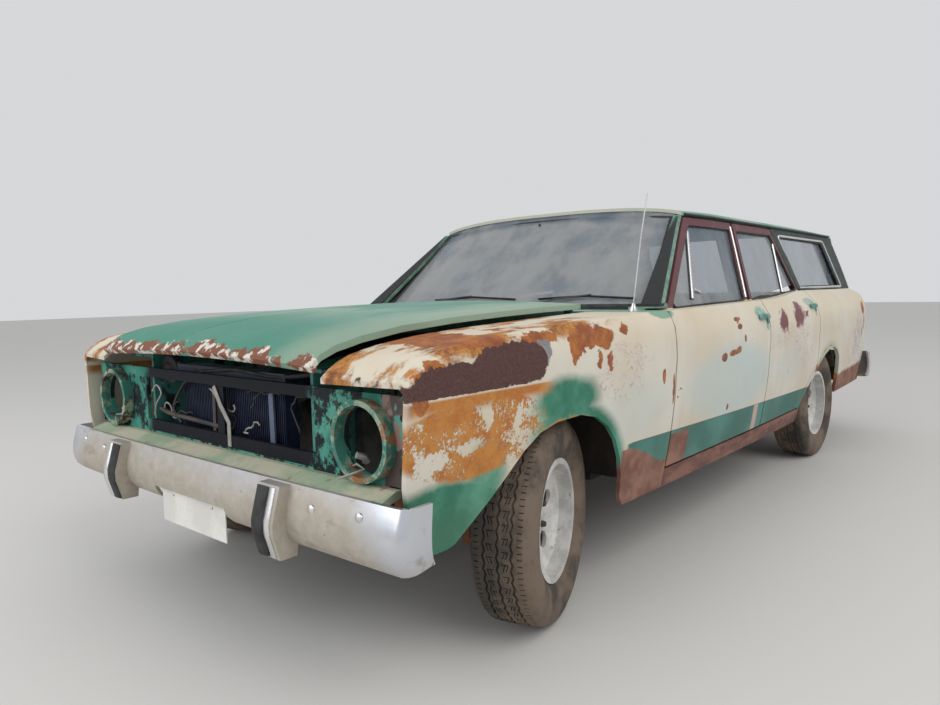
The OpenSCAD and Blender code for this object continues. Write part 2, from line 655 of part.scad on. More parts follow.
bead_w = tyre_w * 0.36;
flange_h = 12;
module tyre() {
    shoulder = tyre_r - 22;
    color([0.2, 0.18, 0.16]) rotate([90, 0, 0]) rotate_extrude($fn = 96) polygon([
        [rim_r + seat_gap, -bead_w], [rim_r + flange_h + 2, -bead_w], [rim_r + 30, -tyre_w * 0.47],
        [rim_r + 75, -tyre_w * 0.5], [shoulder, -tyre_w * 0.45],
        [tyre_r - 6, -tyre_w * 0.38], [tyre_r, -tyre_w * 0.28], [tyre_r, tyre_w * 0.28], [tyre_r - 6,
            tyre_w * 0.38],
        [shoulder, tyre_w * 0.45], [rim_r + 75, tyre_w * 0.5], [rim_r + 30, tyre_w * 0.47],
        [rim_r + flange_h + 2, bead_w], [rim_r + seat_gap, bead_w],
        [rim_r + seat_gap, tyre_w * 0.33], [rim_r + 28, tyre_w * 0.4], [rim_r + 75, tyre_w * 0.42],
            [shoulder - 12, tyre_w * 0.34],
        [tyre_r - 18, 0], [shoulder - 12, -tyre_w * 0.34], [rim_r + 75, -tyre_w * 0.42], [rim_r + 28,
            -tyre_w * 0.4],
        [rim_r + seat_gap, -tyre_w * 0.33]
    ]);
}
hub_r = 26;
module rim() {
    w = bead_w;
    color("gainsboro") rotate([90, 0, 0]) difference() {
        rotate_extrude($fn = 96) polygon([
            [rim_r, -w - 6], [rim_r + flange_h, -w - 6], [rim_r + flange_h, -w - seat_gap], [rim_r, -w -
                seat_gap],
            [rim_r, w + seat_gap], [rim_r + flange_h, w + seat_gap], [rim_r + flange_h, w + 6],
            [rim_r - 6, w + 6], [rim_r - 8, 30], [rim_r - 30, 14], [100, 2], [60, 10],
            [hub_r + seat_gap, 10], [hub_r + seat_gap, -2], [rim_r - 30, -2],
            [rim_r - 8, -20], [rim_r - 6, -w - 6]
        ]);
        for (a = [0:72:288]) rotate([0, 0, a + 18]) translate([112, 0, -40]) cylinder(h = 100, r = 27);
    }
}
module road_wheel_at(x, side, steer) {
    // the wheel hangs outboard of the kingpin and turns with it
    translate([x, side * kingpin_y, axle_z]) rotate([0, 0, steer])
        translate([0, side * (half_track - kingpin_y), 0]) rotate([0, 0, side > 0 ? 180 : 0]) children();
}

module knuckle(side) {
    color("saddlebrown") translate([front_axle_x, side * kingpin_y, axle_z]) rotate([0, 0, steer_rest]) {
        translate([0, 0, -100]) cylinder(h = 200, r = 22);
        rotate([-side * 90, 0, 0]) cylinder(h = half_track - kingpin_y - 20, r = 40);
        rotate([-side * 90, 0, 0]) cylinder(h = half_track - kingpin_y + 16, r = hub_r);
        // brake backing and drum
        rotate([-side * 90, 0, 0]) translate([0, 0, 30]) cylinder(h = half_track - kingpin_y - 60, r = 128);
    }
}

module front_suspension() {
    arm_low = axle_z - 100 - seat_gap - 22;
    arm_high = axle_z + 100 + seat_gap;
    color("saddlebrown") {
        translate([front_axle_x - 50, -(kingpin_y - 140), 260]) cube([100, 2 * (kingpin_y - 140), 70]);
        both_sides() {
            // posts up to the chassis rails
            translate([front_axle_x - 40, apron_y - 55, 329]) cube([80, 50, apron_rail_z - 329 - seat_gap]);
            // lower and upper arms, each ending in a seat for the kingpin, and the post between them
            translate([front_axle_x - 25, kingpin_y - 145, arm_low]) cube([50, 155, 22]);
            translate([front_axle_x - 25, kingpin_y - 150, arm_high]) cube([50, 160, 20]);
            translate([front_axle_x - 25, kingpin_y - 160, arm_low]) cube([50, 30, arm_high + 20 - arm_low]);
        }
    }
}

module rear_axle() {
    color("saddlebrown") {
        translate([rear_axle_x, 0, axle_z]) rotate([90, 0, 0]) cylinder(h = 2 * (half_track - 60), r =
            38, center = true);
        translate([rear_axle_x, 0, axle_z]) rotate([90, 0, 0]) cylinder(h = 2 * (half_track + 16), r =
            hub_r, center = true);
        translate([rear_axle_x, 0, axle_z]) sphere(r = 118);
        for (s = [-1, 1]) translate([rear_axle_x, s * (half_track - 52), axle_z]) rotate([90, 0, 0])
            cylinder(h = 44, r = 128, center = true);
    }
    // leaf springs, hung from the chassis rails
    color("dimgray") both_sides() {
        rotate([90, 0, 0]) translate([0, 0, -530]) linear_extrude(60) polygon([
            [rear_axle_x + 700, 246], [rear_axle_x + 300, axle_z + 26], [rear_axle_x, axle_z + 36],
                [rear_axle_x - 300, axle_z + 26], [rear_axle_x - 640, 260],
            [rear_axle_x - 650, rear_rail_z - seat_gap], [rear_axle_x - 700, rear_rail_z - seat_gap],
            [rear_axle_x - 700, 240], [rear_axle_x - 640, 235], [rear_axle_x - 300, axle_z + 2],
            [rear_axle_x, axle_z + 10], [rear_axle_x + 300, axle_z + 2], [rear_axle_x + 700, 225]
        ]);
        translate([rear_axle_x + 660, 470, 225]) cube([60, 60, floor_z - 12 - 225 - seat_gap]);
    }
}

module driveline() {
    gear_z = floor_z + 40;
    color("dimgray") {
        translate([700, -95, floor_z - 12]) cube([480 - seat_gap, 190, 140]);
        translate([1120, -150, 440]) cube([60 - seat_gap, 300, 200]);
        translate([1120, -95, floor_z + 100]) cube([60 - seat_gap, 190, 60]);
        hull() {
            translate([705, 0, gear_z]) sphere(r = 30, $fn = 24);
            translate([rear_axle_x + 142, 0, axle_z]) sphere(r = 22, $fn = 24);
        }
    }
}

module exhaust() {
    box_r = 60;
    color("sienna") {
        translate([900, 220, floor_z - 45]) rotate([0, -90, 0]) cylinder(h = 1500, r = 24);
        translate([300, 220, floor_z - 12 - box_r - seat_gap]) rotate([0, -90, 0]) cylinder(h = 480, r =
            box_r);
    }
}

module fuel_tank() {
    color("dimgray") translate([-2150, -400, load_floor_z - 12 - seat_gap - 130]) cube([560, 800, 130]);
}

// ---------------------------------------------------------------- nodes

floor_pan();
pillars_and_sills();
quarter_panel();  // left_quarter_panel
mirror([0, 1, 0]) quarter_panel();  // right_quarter_panel
roof_panel();
cowl_and_firewall();
front_wing();  // left_front_wing
mirror([0, 1, 0]) front_wing();  // right_front_wing
inner_aprons();
radiator_support();
radiator();
engine_block();
front_valance();
front_bumper();
number_plate();
rear_bumper();
fixed_glass();
dashboard();
bench_seats();
front_suspension();
rear_axle();
driveline();
exhaust();
fuel_tank();
bonnet();
tailgate();
tailgate_glass();
steering_wheel();
front_door();  // left_front_door
mirror([0, 1, 0]) front_door();  // right_front_door
rear_door();  // left_rear_door
mirror([0, 1, 0]) rear_door();  // right_rear_door
front_pane();  // left_front_glass
mirror([0, 1, 0]) front_pane();  // right_front_glass
rear_pane();  // left_rear_glass
mirror([0, 1, 0]) rear_pane();  // right_rear_glass
knuckle(1);  // left_knuckle
knuckle(-1);  // right_knuckle
road_wheel_at(front_axle_x, 1, steer_rest) tyre();  // left_front_tyre
road_wheel_at(front_axle_x, -1, steer_rest) tyre();  // right_front_tyre
road_wheel_at(rear_axle_x, 1, 0) tyre();  // left_rear_tyre
road_wheel_at(rear_axle_x, -1, 0) tyre();  // right_rear_tyre
road_wheel_at(front_axle_x, 1, steer_rest) rim();  // left_front_rim
road_wheel_at(front_axle_x, -1, steer_rest) rim();  // right_front_rim
road_wheel_at(rear_axle_x, 1, 0) rim();  // left_rear_rim
road_wheel_at(rear_axle_x, -1, 0) rim();  // right_rear_rim
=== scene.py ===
# %% [markdown]
# # A weathered station wagon
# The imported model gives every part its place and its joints. This script gives the parts their looks: worn
# paint, rust, dull chrome, dusty glass, tyres with tread, and the small trim that rides on them. The packed
# frame is loaded and measured first, because all that follows is set against it.

# %% Load the frame
import math
import random

import bmesh
import bpy
from mathutils import Matrix, Vector
from mathutils.bvhtree import BVHTree


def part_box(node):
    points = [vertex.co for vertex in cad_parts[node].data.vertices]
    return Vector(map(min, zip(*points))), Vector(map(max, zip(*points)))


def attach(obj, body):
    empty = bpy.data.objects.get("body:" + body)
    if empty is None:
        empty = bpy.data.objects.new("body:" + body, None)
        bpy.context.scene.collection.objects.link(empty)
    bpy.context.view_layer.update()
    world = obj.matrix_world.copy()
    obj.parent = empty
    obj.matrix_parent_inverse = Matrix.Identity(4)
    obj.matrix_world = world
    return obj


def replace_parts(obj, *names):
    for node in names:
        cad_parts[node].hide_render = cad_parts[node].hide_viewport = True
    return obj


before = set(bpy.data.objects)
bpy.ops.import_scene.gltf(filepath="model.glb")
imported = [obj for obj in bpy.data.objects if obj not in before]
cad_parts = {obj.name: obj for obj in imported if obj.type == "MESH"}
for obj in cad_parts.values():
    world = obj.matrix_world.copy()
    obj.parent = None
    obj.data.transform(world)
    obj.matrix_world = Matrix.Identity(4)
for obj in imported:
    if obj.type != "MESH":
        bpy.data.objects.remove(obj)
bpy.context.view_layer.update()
scene = bpy.context.scene
SIDES = {"left": 1, "right": -1}

# %% [markdown]
# The camera stands low, ahead of the car's front left corner, and looks back along its side. A constraint
# could aim it, but a camera just looks along its own -Z. So its axes are built from the heading, the tilt
# down and the slight roll, and nothing has to be tracked.

# %% Camera
CAMERA_PLACE = (3.3724, 2.0301, 1.0258)
HEADING, TILT, ROLL = math.radians(220.737), math.radians(-4.887), math.radians(-1.179)
forward = Vector((math.cos(HEADING) * math.cos(TILT), math.sin(HEADING) * math.cos(TILT), math.sin(TILT)))
level = forward.cross(Vector((0, 0, 1))).normalized()
upright = level.cross(forward)
right = level * math.cos(ROLL) + upright * math.sin(ROLL)
up = upright * math.cos(ROLL) - level * math.sin(ROLL)
camera_data = bpy.data.cameras.new("camera")
camera_data.lens = 27.385
camera_data.sensor_width = 36
camera = bpy.data.objects.new("camera", camera_data)
scene.collection.objects.link(camera)
camera.matrix_world = Matrix.Translation(CAMERA_PLACE) @ Matrix((right, up, -forward)).transposed().to_4x4()
scene.camera = camera
scene.view_settings.view_transform = "Standard"
print("camera height", round(camera.matrix_world.translation.z, 3))

# %% [markdown]
# Worn paint is many masks multiplied and laid over each other. Wiring them by hand needs hundreds of lines,
# so this class wraps a socket, and each operator adds the Math node that it stands for.

# %% Shader expressions
class Value:
    """One shader socket in an expression."""

    def __init__(self, finish, socket):
        self.finish, self.socket = finish, socket

    def math(self, operation, *others):
        return self.finish.add("ShaderNodeMath", {"operation": operation}, [self, *others])

    def __add__(self, other):
        return self.math("ADD", other)

    def __sub__(self, other):
        return self.math("SUBTRACT", other)

    def __rsub__(self, other):
        return self.finish.add("ShaderNodeMath", {"operation": "SUBTRACT"}, [other, self])

    def __mul__(self, other):
        return self.math("MULTIPLY", other)

    def __truediv__(self, other):
        return self.math("DIVIDE", other)

    def __gt__(self, other):
        return self.math("GREATER_THAN", other)

    def __lt__(self, other):
        return self.math("LESS_THAN", other)

    def __abs__(self):
        return self.math("ABSOLUTE")

    def max(self, other):
        return self.math("MAXIMUM", other)

    def min(self, other):
        return self.math("MINIMUM", other)

    def ramp(self, low, high):
        """0 at low, 1 at high, smooth between them."""
        return self.finish.add("ShaderNodeMapRange", {"interpolation_type": "SMOOTHSTEP"},
                               [self, low, high, 0.0, 1.0])

    def between(self, start, full, fade, end):
        """1 from full to fade, with soft shoulders out to start and end."""
        return self.ramp(start, full) - self.ramp(fade, end)

    __radd__, __rmul__ = __add__, __mul__


# %% [markdown]
# A Finish holds one material's tree. Real coats lie over each other, so it keeps the colour so far, and lay
# puts the next coat over it where a mask says. All patterns read Object coordinates, which don't slide when
# a part moves.

# %% Finish
class Finish:
    """One material, with the place on the car as x, y and z."""

    def __init__(self, name, colour=None):
        self.colour = colour
        self.material = bpy.data.materials.new(name)
        self.material.use_nodes = True
        self.tree = self.material.node_tree
        self.tree.nodes.clear()
        self.shader = self.tree.nodes.new("ShaderNodeBsdfPrincipled")
        output = self.tree.nodes.new("ShaderNodeOutputMaterial")
        self.tree.links.new(self.shader.outputs[0], output.inputs[0])
        self.place = self.add("ShaderNodeTexCoord", {}, [], "Object")
        axes = self.add("ShaderNodeSeparateXYZ", {}, [self.place]).socket.node.outputs
        self.x, self.y, self.z = (Value(self, socket) for socket in axes)

    def plug(self, socket, value):
        if isinstance(value, Value):
            self.tree.links.new(value.socket, socket)
        elif isinstance(value, tuple) and socket.type == "RGBA":
            socket.default_value = (*value, 1)
        else:
            socket.default_value = value

    def add(self, kind, settings, inputs, output=0):
        """Any node: its type, its settings, and the values or links of its sockets."""
        node = self.tree.nodes.new(kind)
        for key, value in settings.items():
            setattr(node, key, value)
        pairs = inputs.items() if isinstance(inputs, dict) else enumerate(inputs)
        for key, value in pairs:
            self.plug(node.inputs[key], value)
        return Value(self, node.outputs[output])

    def noise(self, scale, detail=4, roughness=0.55, at=None, distortion=0.0):
        sockets = {"Vector": at or self.place, "Scale": scale, "Detail": detail, "Roughness": roughness,
                   "Distortion": distortion}
        return self.add("ShaderNodeTexNoise", {}, sockets)

    def stretched(self, scale_x, scale_y, scale_z, turn=0.0):
        sockets = {"Vector": self.place, "Scale": (scale_x, scale_y, scale_z), "Rotation": (0, turn, 0)}
        return self.add("ShaderNodeMapping", {}, sockets)

    def mix(self, mask, low, high):
        # a Mix node's colour sockets are numbers 6 and 7, and its colour result is number 2
        settings = {"data_type": "RGBA", "clamp_factor": True}
        return self.add("ShaderNodeMix", settings, {0: mask, 6: low, 7: high}, 2)

    def lay(self, mask, coat):
        self.colour = self.mix(mask, self.colour, coat)

    def bump(self, height, distance, strength=1.0, after=None):
        inputs = {"Height": height, "Distance": distance, "Strength": strength}
        if after:
            inputs["Normal"] = after
        return self.add("ShaderNodeBump", {}, inputs)

    def set(self, **sockets):
        for key, value in {"Base_Color": self.colour, **sockets}.items():
            self.plug(self.shader.inputs[key.replace("_", " ")], value)
        return self.material


def spot(finish, ragged, x, z, half_x, half_z, edge=0.25, strength=1):
    """An island of another finish round x and z. The ragged values break up its rim."""
    u = (finish.x + ragged[0] - x) / half_x
    v = (finish.z + ragged[1] - z) / half_z
    mask = (1 - (u * u + v * v)).ramp(0, edge)
    return mask if strength == 1 else mask * strength


def spots(finish, ragged, *places):
    """Several islands in one mask."""
    mask = spot(finish, ragged, *places[0])
    for place in places[1:]:
        mask = mask.max(spot(finish, ragged, *place))
    return mask


print("shader helpers ready")

# %% [markdown]
# Sixty years of repaints show as islands. The last coat is cream, with bluish filler under it, a green coat
# below the two-tone line and round the arches, brown primer near the ground, and rust where all of them have
# gone. One flat colour with noise could stand in for all this, but each island sits at its own place, so
# each gets a mask.

# %% Colours
CREAM = (0.60, 0.535, 0.42)
PALE_CREAM = (0.65, 0.625, 0.55)
# the next cream is painted highlight for the band above the crease
PAINTED_HIGHLIGHT_CREAM = (0.72, 0.60, 0.42)
GREENISH_CREAM = (0.36, 0.42, 0.30)
OLD_CREAM = (0.62, 0.58, 0.47)
FILLER = (0.46, 0.555, 0.545)
RAIN_STREAK = (0.45, 0.40, 0.33)
TEAL = (0.010, 0.150, 0.085)
PALE_TEAL = (0.085, 0.30, 0.205)
BAND_GREEN = (0.014, 0.125, 0.098)
PALE_BAND_GREEN = (0.05, 0.22, 0.185)
RUBBED_GREEN = (0.10, 0.32, 0.26)
RUBBED_PALE = (0.38, 0.52, 0.45)
ORANGE_RUST = (0.42, 0.145, 0.028)
BRIGHT_RUST = (0.50, 0.22, 0.05)
BROWN_RUST = (0.19, 0.062, 0.026)
DEEP_RUST = (0.26, 0.075, 0.03)
CHIP_RUST = (0.17, 0.05, 0.024)
BARE_MAROON = (0.062, 0.027, 0.024)
DULL_MAROON = (0.11, 0.05, 0.042)
# the next grey is a painted sheen, a small highlight beside the bare patch
PAINTED_SHEEN_GREY = (0.22, 0.22, 0.235)
PRIMER = (0.165, 0.068, 0.050)
PALE_PRIMER = (0.29, 0.145, 0.10)
PINK_STRIP = (0.50, 0.36, 0.30)
PINK_RIM = (0.42, 0.24, 0.30)
PINK_SCRATCH = (0.42, 0.24, 0.33)
PURPLE = (0.24, 0.085, 0.15)
OXBLOOD = (0.15, 0.045, 0.028)
BRUISE = (0.33, 0.29, 0.40)
FRAME_MAROON = (0.105, 0.028, 0.034)
FRAME_RUST = (0.17, 0.06, 0.055)
SOFT_BLACK = (0.05, 0.05, 0.05)
DUST = (0.30, 0.25, 0.19)
FRONT_AXLE_X, REAR_AXLE_X, AXLE_Z = 1.622, -1.197, 0.318
print("wheelbase", round(FRONT_AXLE_X - REAR_AXLE_X, 3))

# %% [markdown]
# The sides start with cream, dirtier in places, then filler and rain streaks. Above the crease, where the panel
# leans in and faces up, a lighter, yellower cream is painted highlight.
# Two noises move every island's rim along x and z, so that no rim is an ellipse. The far side adds a step to
# them, which puts the same kinds of damage in other places.

# %% Side paint: cream and filler
paint = Finish("side_paint", CREAM)
broad = paint.noise(2.2, 3)
fine = paint.noise(38, 6, 0.65)
grain = paint.noise(160, 4, 0.7)
wobble_x = paint.noise(9, 5, 0.6) - 0.5
wobble_z = paint.noise(9, 5, 0.6, paint.stretched(1, 1, 1, 0.7)) - 0.5
crumble = (fine - 0.5) * 0.035
far_step = (paint.y < 0) * 0.31
ragged = (wobble_x * 0.10 + crumble + far_step, wobble_z * 0.07 + crumble)
soft = (wobble_x * 0.05 + far_step, wobble_z * 0.03)
barely = (ragged[0] * 0.35, ragged[1] * 0.35)

paint.lay(broad.ramp(0.35, 0.65), PALE_CREAM)
# painted highlight: the band above the crease, which faces up, is made lighter and yellower
paint.lay(paint.z.ramp(0.78, 0.9) * 0.35, PAINTED_HIGHLIGHT_CREAM)
# each place is x, z, half length, half height, then the rim's softness and the strength
filler = spots(paint, soft, (0.38, 0.63, 0.55, 0.185, 0.7), (-0.45, 0.64, 0.36, 0.13, 1.0, 0.45),
               (1.22, 0.62, 0.30, 0.14, 1.0, 0.5))
paint.lay(filler * (0.45 + broad * 0.6), FILLER)
rain = paint.noise(7, 4, 0.6, paint.stretched(1, 1, 0.15))
paint.lay(rain.ramp(0.52, 0.75) * 0.22, RAIN_STREAK)
print("cream laid, nodes:", len(paint.tree.nodes))

# %% [markdown]
# Green shows through in soft clouds round the arches, and as a band under the two-tone line. The arches need
# a distance from the axle, and its square does as well as a root would.

# %% Side paint: greens
def reach_squared(finish, axle_x):
    """Squared distance from an axle, seen from the side."""
    along, above = finish.x - axle_x, finish.z - AXLE_Z
    return along * along + above * above


front_reach, rear_reach = (reach_squared(paint, axle_x) for axle_x in (FRONT_AXLE_X, REAR_AXLE_X))
front_arch = (1 - front_reach.ramp(0.125, 0.165)) * paint.x.between(1.05, 1.2, 1.72, 1.86) * 0.9
clouds = spots(paint, soft, (1.63, 0.70, 0.21, 0.095, 0.9), (2.14, 0.42, 0.30, 0.165, 0.45),
               (1.98, 0.55, 0.10, 0.12, 0.9, 0.8)).max(front_arch)
green = paint.mix(paint.noise(5, 4).ramp(0.38, 0.62), TEAL, PALE_TEAL)
paint.lay((clouds * (0.95 + fine * 0.5)).min(1), green)
paint.lay((1 - rear_reach.ramp(0.122, 0.152)) * 0.75, GREENISH_CREAM)

two_tone_line = paint.x * 0.0215 + 0.481
under_line = two_tone_line - paint.z
band = under_line.ramp(-0.002, 0.002) * paint.x.between(-0.9, -0.88, 1.24, 1.27)
paint.lay(band, paint.mix(paint.noise(3.5, 3).ramp(0.4, 0.7), BAND_GREEN, PALE_BAND_GREEN))
pin_line = under_line.between(-0.004, 0.0, 0.0, 0.004) * paint.x.between(-0.9, -0.88, 1.22, 1.24)
paint.lay(pin_line * 0.8, SOFT_BLACK)
print("greens laid, nodes:", len(paint.tree.nodes))

# %% [markdown]
# Brown primer lies low down: behind the front wheel, at the door's lower corner, behind the rear wheel and
# along the bottom edge. A short pink strip breaks the green band. Each zone is a product of ramps along x
# and z, and the noises tear its border.

# %% Side paint: primer
slope = paint.z + paint.x * -0.36 + wobble_x * 0.09 + crumble
behind_wheel = (1 - slope.ramp(0.045, 0.055)) * paint.x.between(0.93, 0.95, 1.28, 1.3) * (paint.z < 0.49)
door_corner = (paint.x + wobble_z * 0.05).ramp(0.775, 0.785) * (1 - paint.x.ramp(0.94, 0.95))
door_corner = door_corner * (paint.z < 0.488)
tail = 1 - (paint.z + wobble_x * 0.06 + paint.x * 0.03).ramp(0.40, 0.43)
tail = tail * (1 - paint.x.ramp(-1.52, -1.5))
bottom_edge = 1 - paint.z.ramp(0.352, 0.358)
primer = behind_wheel.max(door_corner).max(tail).max(bottom_edge)
primer_coat = paint.mix(paint.noise(12, 5, 0.6).ramp(0.35, 0.65), PRIMER, PALE_PRIMER)
bled = paint.noise(6, 4, 0.6, paint.stretched(1, 1, 0.4)).ramp(0.58, 0.7)
paint.lay(primer, paint.mix(bled, primer_coat, BRIGHT_RUST))
strip = paint.x.between(0.02, 0.03, 0.075, 0.085) * (two_tone_line > paint.z) * (paint.z > 0.358)
paint.lay(strip, PINK_STRIP)
print("primer laid, nodes:", len(paint.tree.nodes))

# %% [markdown]
# Rust runs along the top of the wing in streaks, sits below it in islands, and speckles the panel under the
# crease. A noise alone would spread it evenly, so each noise is held inside its own zone.

# %% Side paint: rust
on_wing = paint.x.ramp(1.28, 1.42)
on_top = (paint.z + paint.x * 0.105).ramp(1.045, 1.075)
on_top = on_top.max(paint.x.ramp(2.19, 2.26) * paint.z.ramp(0.72, 0.78))
near_top = on_top * on_wing * paint.noise(5.5, 6, 0.68, paint.stretched(0.55, 1.4, 1.0)).ramp(0.47, 0.56)
islands = spots(
    paint, ragged, (1.49, 0.885, 0.12, 0.035), (1.44, 0.865, 0.05, 0.03), (1.585, 0.87, 0.045, 0.045),
    (1.60, 0.835, 0.018, 0.03), (1.47, 0.805, 0.017, 0.030), (1.395, 0.80, 0.020, 0.034),
    (1.30, 0.90, 0.035, 0.020), (1.75, 0.895, 0.09, 0.022), (2.02, 0.905, 0.12, 0.02),
    (2.17, 0.845, 0.04, 0.018), (2.22, 0.80, 0.03, 0.05))
speckle, dots = paint.noise(75, 5, 0.75), paint.noise(150, 3, 0.6)
cover = paint.noise(6.5, 4, 0.6, None, 0.8)
field = spot(paint, soft, 2.02, 0.665, 0.30, 0.115)
gaps = spots(paint, ragged, (1.99, 0.70, 0.035, 0.045, 0.8), (1.86, 0.685, 0.022, 0.05, 0.8),
             (2.04, 0.645, 0.10, 0.02, 0.8), (2.17, 0.62, 0.06, 0.03, 0.8))
speckled = field * (speckle * 0.6 + dots * 0.4 + (cover - 0.5) * 1.5 - gaps * 0.25).ramp(0.44, 0.53)
hem = paint.z.between(0.725, 0.755, 0.768, 0.775) * paint.x.between(1.68, 1.76, 2.24, 2.28)
speckled = speckled.max(hem * (speckle + 0.3).ramp(0.45, 0.6))
arch_lips = rear_reach.between(0.116, 0.120, 0.121, 0.128) + front_reach.between(0.1085, 0.112, 0.113, 0.119)
rust = near_top.max(islands).max(speckled).max(arch_lips * paint.noise(20, 4).ramp(0.4, 0.55))

bright = paint.noise(24, 5, 0.7)
rust_coat = paint.mix(on_top.max(islands), ORANGE_RUST, BROWN_RUST)
rust_coat = paint.mix(bright.ramp(0.35, 0.62), rust_coat, BRIGHT_RUST)
rust_coat = paint.mix(islands * 0.85, rust_coat, paint.mix(bright.ramp(0.4, 0.7), DEEP_RUST, ORANGE_RUST))
paint.lay(rust, rust_coat)
print("rust laid, nodes:", len(paint.tree.nodes))

# %% [markdown]
# Hands, keys and stones leave small marks: chips along the crease, green that shows through by the handles,
# and purplish patches and scratches on the doors. A patch has a pink rim, a purple ring and a red-brown middle,
# which three ramps of one mask give.

# %% Side paint: chips, rubbed places and scratches
chipped = spots(
    paint, barely, (0.50, 0.735, 0.032, 0.018), (0.40, 0.747, 0.055, 0.014), (0.345, 0.755, 0.03, 0.018),
    (0.42, 0.520, 0.014, 0.014), (0.325, 0.852, 0.028, 0.012), (0.345, 0.878, 0.012, 0.014),
    (1.035, 0.715, 0.014, 0.028), (-2.17, 0.86, 0.05, 0.05), (-2.20, 0.76, 0.018, 0.06),
    (-2.15, 0.70, 0.012, 0.045), (0.955, 0.66, 0.01, 0.06), (0.35, 0.885, 0.035, 0.010),
    (0.27, 0.80, 0.012, 0.020), (-0.93, 0.54, 0.030, 0.040))
scatter = paint.noise(31, 3, 0.5, paint.stretched(1, 1, 1.4)).ramp(0.72, 0.75)
chipped = chipped.max(scatter * broad.ramp(0.45, 0.6))
paint.lay(chipped, paint.mix(bright.ramp(0.45, 0.6), CHIP_RUST, ORANGE_RUST))
rubbed = spots(paint, soft, (0.045, 0.898, 0.085, 0.040, 0.6), (-0.80, 0.925, 0.11, 0.035, 0.6),
               (-0.02, 0.855, 0.026, 0.045, 0.6, 0.9))
paint.lay(rubbed * 0.8, paint.mix(fine.ramp(0.4, 0.6), RUBBED_GREEN, RUBBED_PALE))
tatty = ((paint.noise(21, 5, 0.65) - 0.5) * 0.16 + far_step, (paint.noise(18, 5, 0.65) - 0.5) * 0.15)
worn = spots(paint, tatty, (-0.53, 0.872, 0.115, 0.070, 0.7), (-0.27, 0.845, 0.075, 0.062, 0.7),
             (-0.67, 0.86, 0.035, 0.028, 0.7))
paint.lay(worn.ramp(0.0, 0.2) * 0.55, PINK_RIM)
paint.lay(worn.ramp(0.25, 0.5) * 0.75, PURPLE)
paint.lay(worn.ramp(0.7, 0.85), OXBLOOD)
vein = 1 - abs(paint.noise(15, 5, 0.6, paint.stretched(1, 1, 1.2, 0.4), 1.5) - 0.5).ramp(0.0, 0.02)
scuffed = spots(paint, soft, (1.30, 0.76, 0.22, 0.11, 0.5), (-0.45, 0.70, 0.45, 0.16, 0.6),
                (-1.95, 0.62, 0.3, 0.2, 0.7))
paint.lay(vein * scuffed * paint.noise(8, 3).ramp(0.44, 0.54), PINK_SCRATCH)
paint.lay(spot(paint, soft, 1.00, 0.935, 0.10, 0.022, 0.5, 0.8), PALE_TEAL)
bruised = spot(paint, tatty, -2.02, 0.66, 0.20, 0.17, 0.8) * paint.noise(26, 5, 0.7).ramp(0.44, 0.56)
paint.lay(bruised * 0.6, BRUISE)
print("marks laid, nodes:", len(paint.tree.nodes))

# %% [markdown]
# The largest mark is bare maroon metal ahead of the front wheel's crown, cut off straight by the crease.
# Last come the maroon window frames above the belt line, and road dirt. Rust and bare metal also change the
# roughness and the bump, because a coat that is gone leaves a step.

# %% Side paint: bare patch, window frames, dirt and surface
bare = spots(paint, ragged, (1.885, 0.832, 0.165, 0.066, 0.12), (2.10, 0.800, 0.175, 0.052, 0.12))
bare = bare * (paint.z + (fine - 0.5) * 0.012 > 0.776)
paint.lay(bare, paint.mix(grain.ramp(0.35, 0.7), BARE_MAROON, DULL_MAROON))
# painted sheen: a small grey patch at the bare patch's rear end stands in for a highlight
paint.lay(spot(paint, ragged, 1.745, 0.85, 0.035, 0.04, 0.3) * (1 - bare), PAINTED_SHEEN_GREY)
belt = paint.x.min(0.9).max(-0.85) * -0.017 + 0.959 + (0 - paint.x).ramp(0.25, 0.85) * 0.022
frames = (paint.z - belt).ramp(-0.001, 0.003) * (paint.x < 0.925) * (paint.x > -0.93)
paint.lay(frames, paint.mix(paint.noise(14, 5).ramp(0.5, 0.72), FRAME_MAROON, FRAME_RUST))
paint.lay((1 - paint.z.ramp(0.30, 0.62)) * paint.noise(4, 4).ramp(0.3, 0.8) * 0.18, DUST)
rough = 0.5 + rust.max(bare).max(primer) * 0.35 + (fine - 0.5) * 0.12
height = grain * (rust.max(bare) * 0.8 + 0.05) + fine * rust * 0.8 - bare * 1.2 - chipped * 0.6
dents = paint.bump(paint.noise(2.6, 2, 0.4), 0.012, 0.55)
SIDE_PAINT = paint.set(Roughness=rough.max(0.3).min(0.95), Normal=paint.bump(height, 0.0016, 0.7, dents))
print("side paint nodes:", len(paint.tree.nodes))

# %% [markdown]
# The bonnet and the roof carry the oldest coat. Sun has turned it chalky, so it is a rough green with pale
# streaks, broken to cream and rust along the lip of the bonnet. The streaks are noise on stretched
# coordinates, which costs one Mapping node.

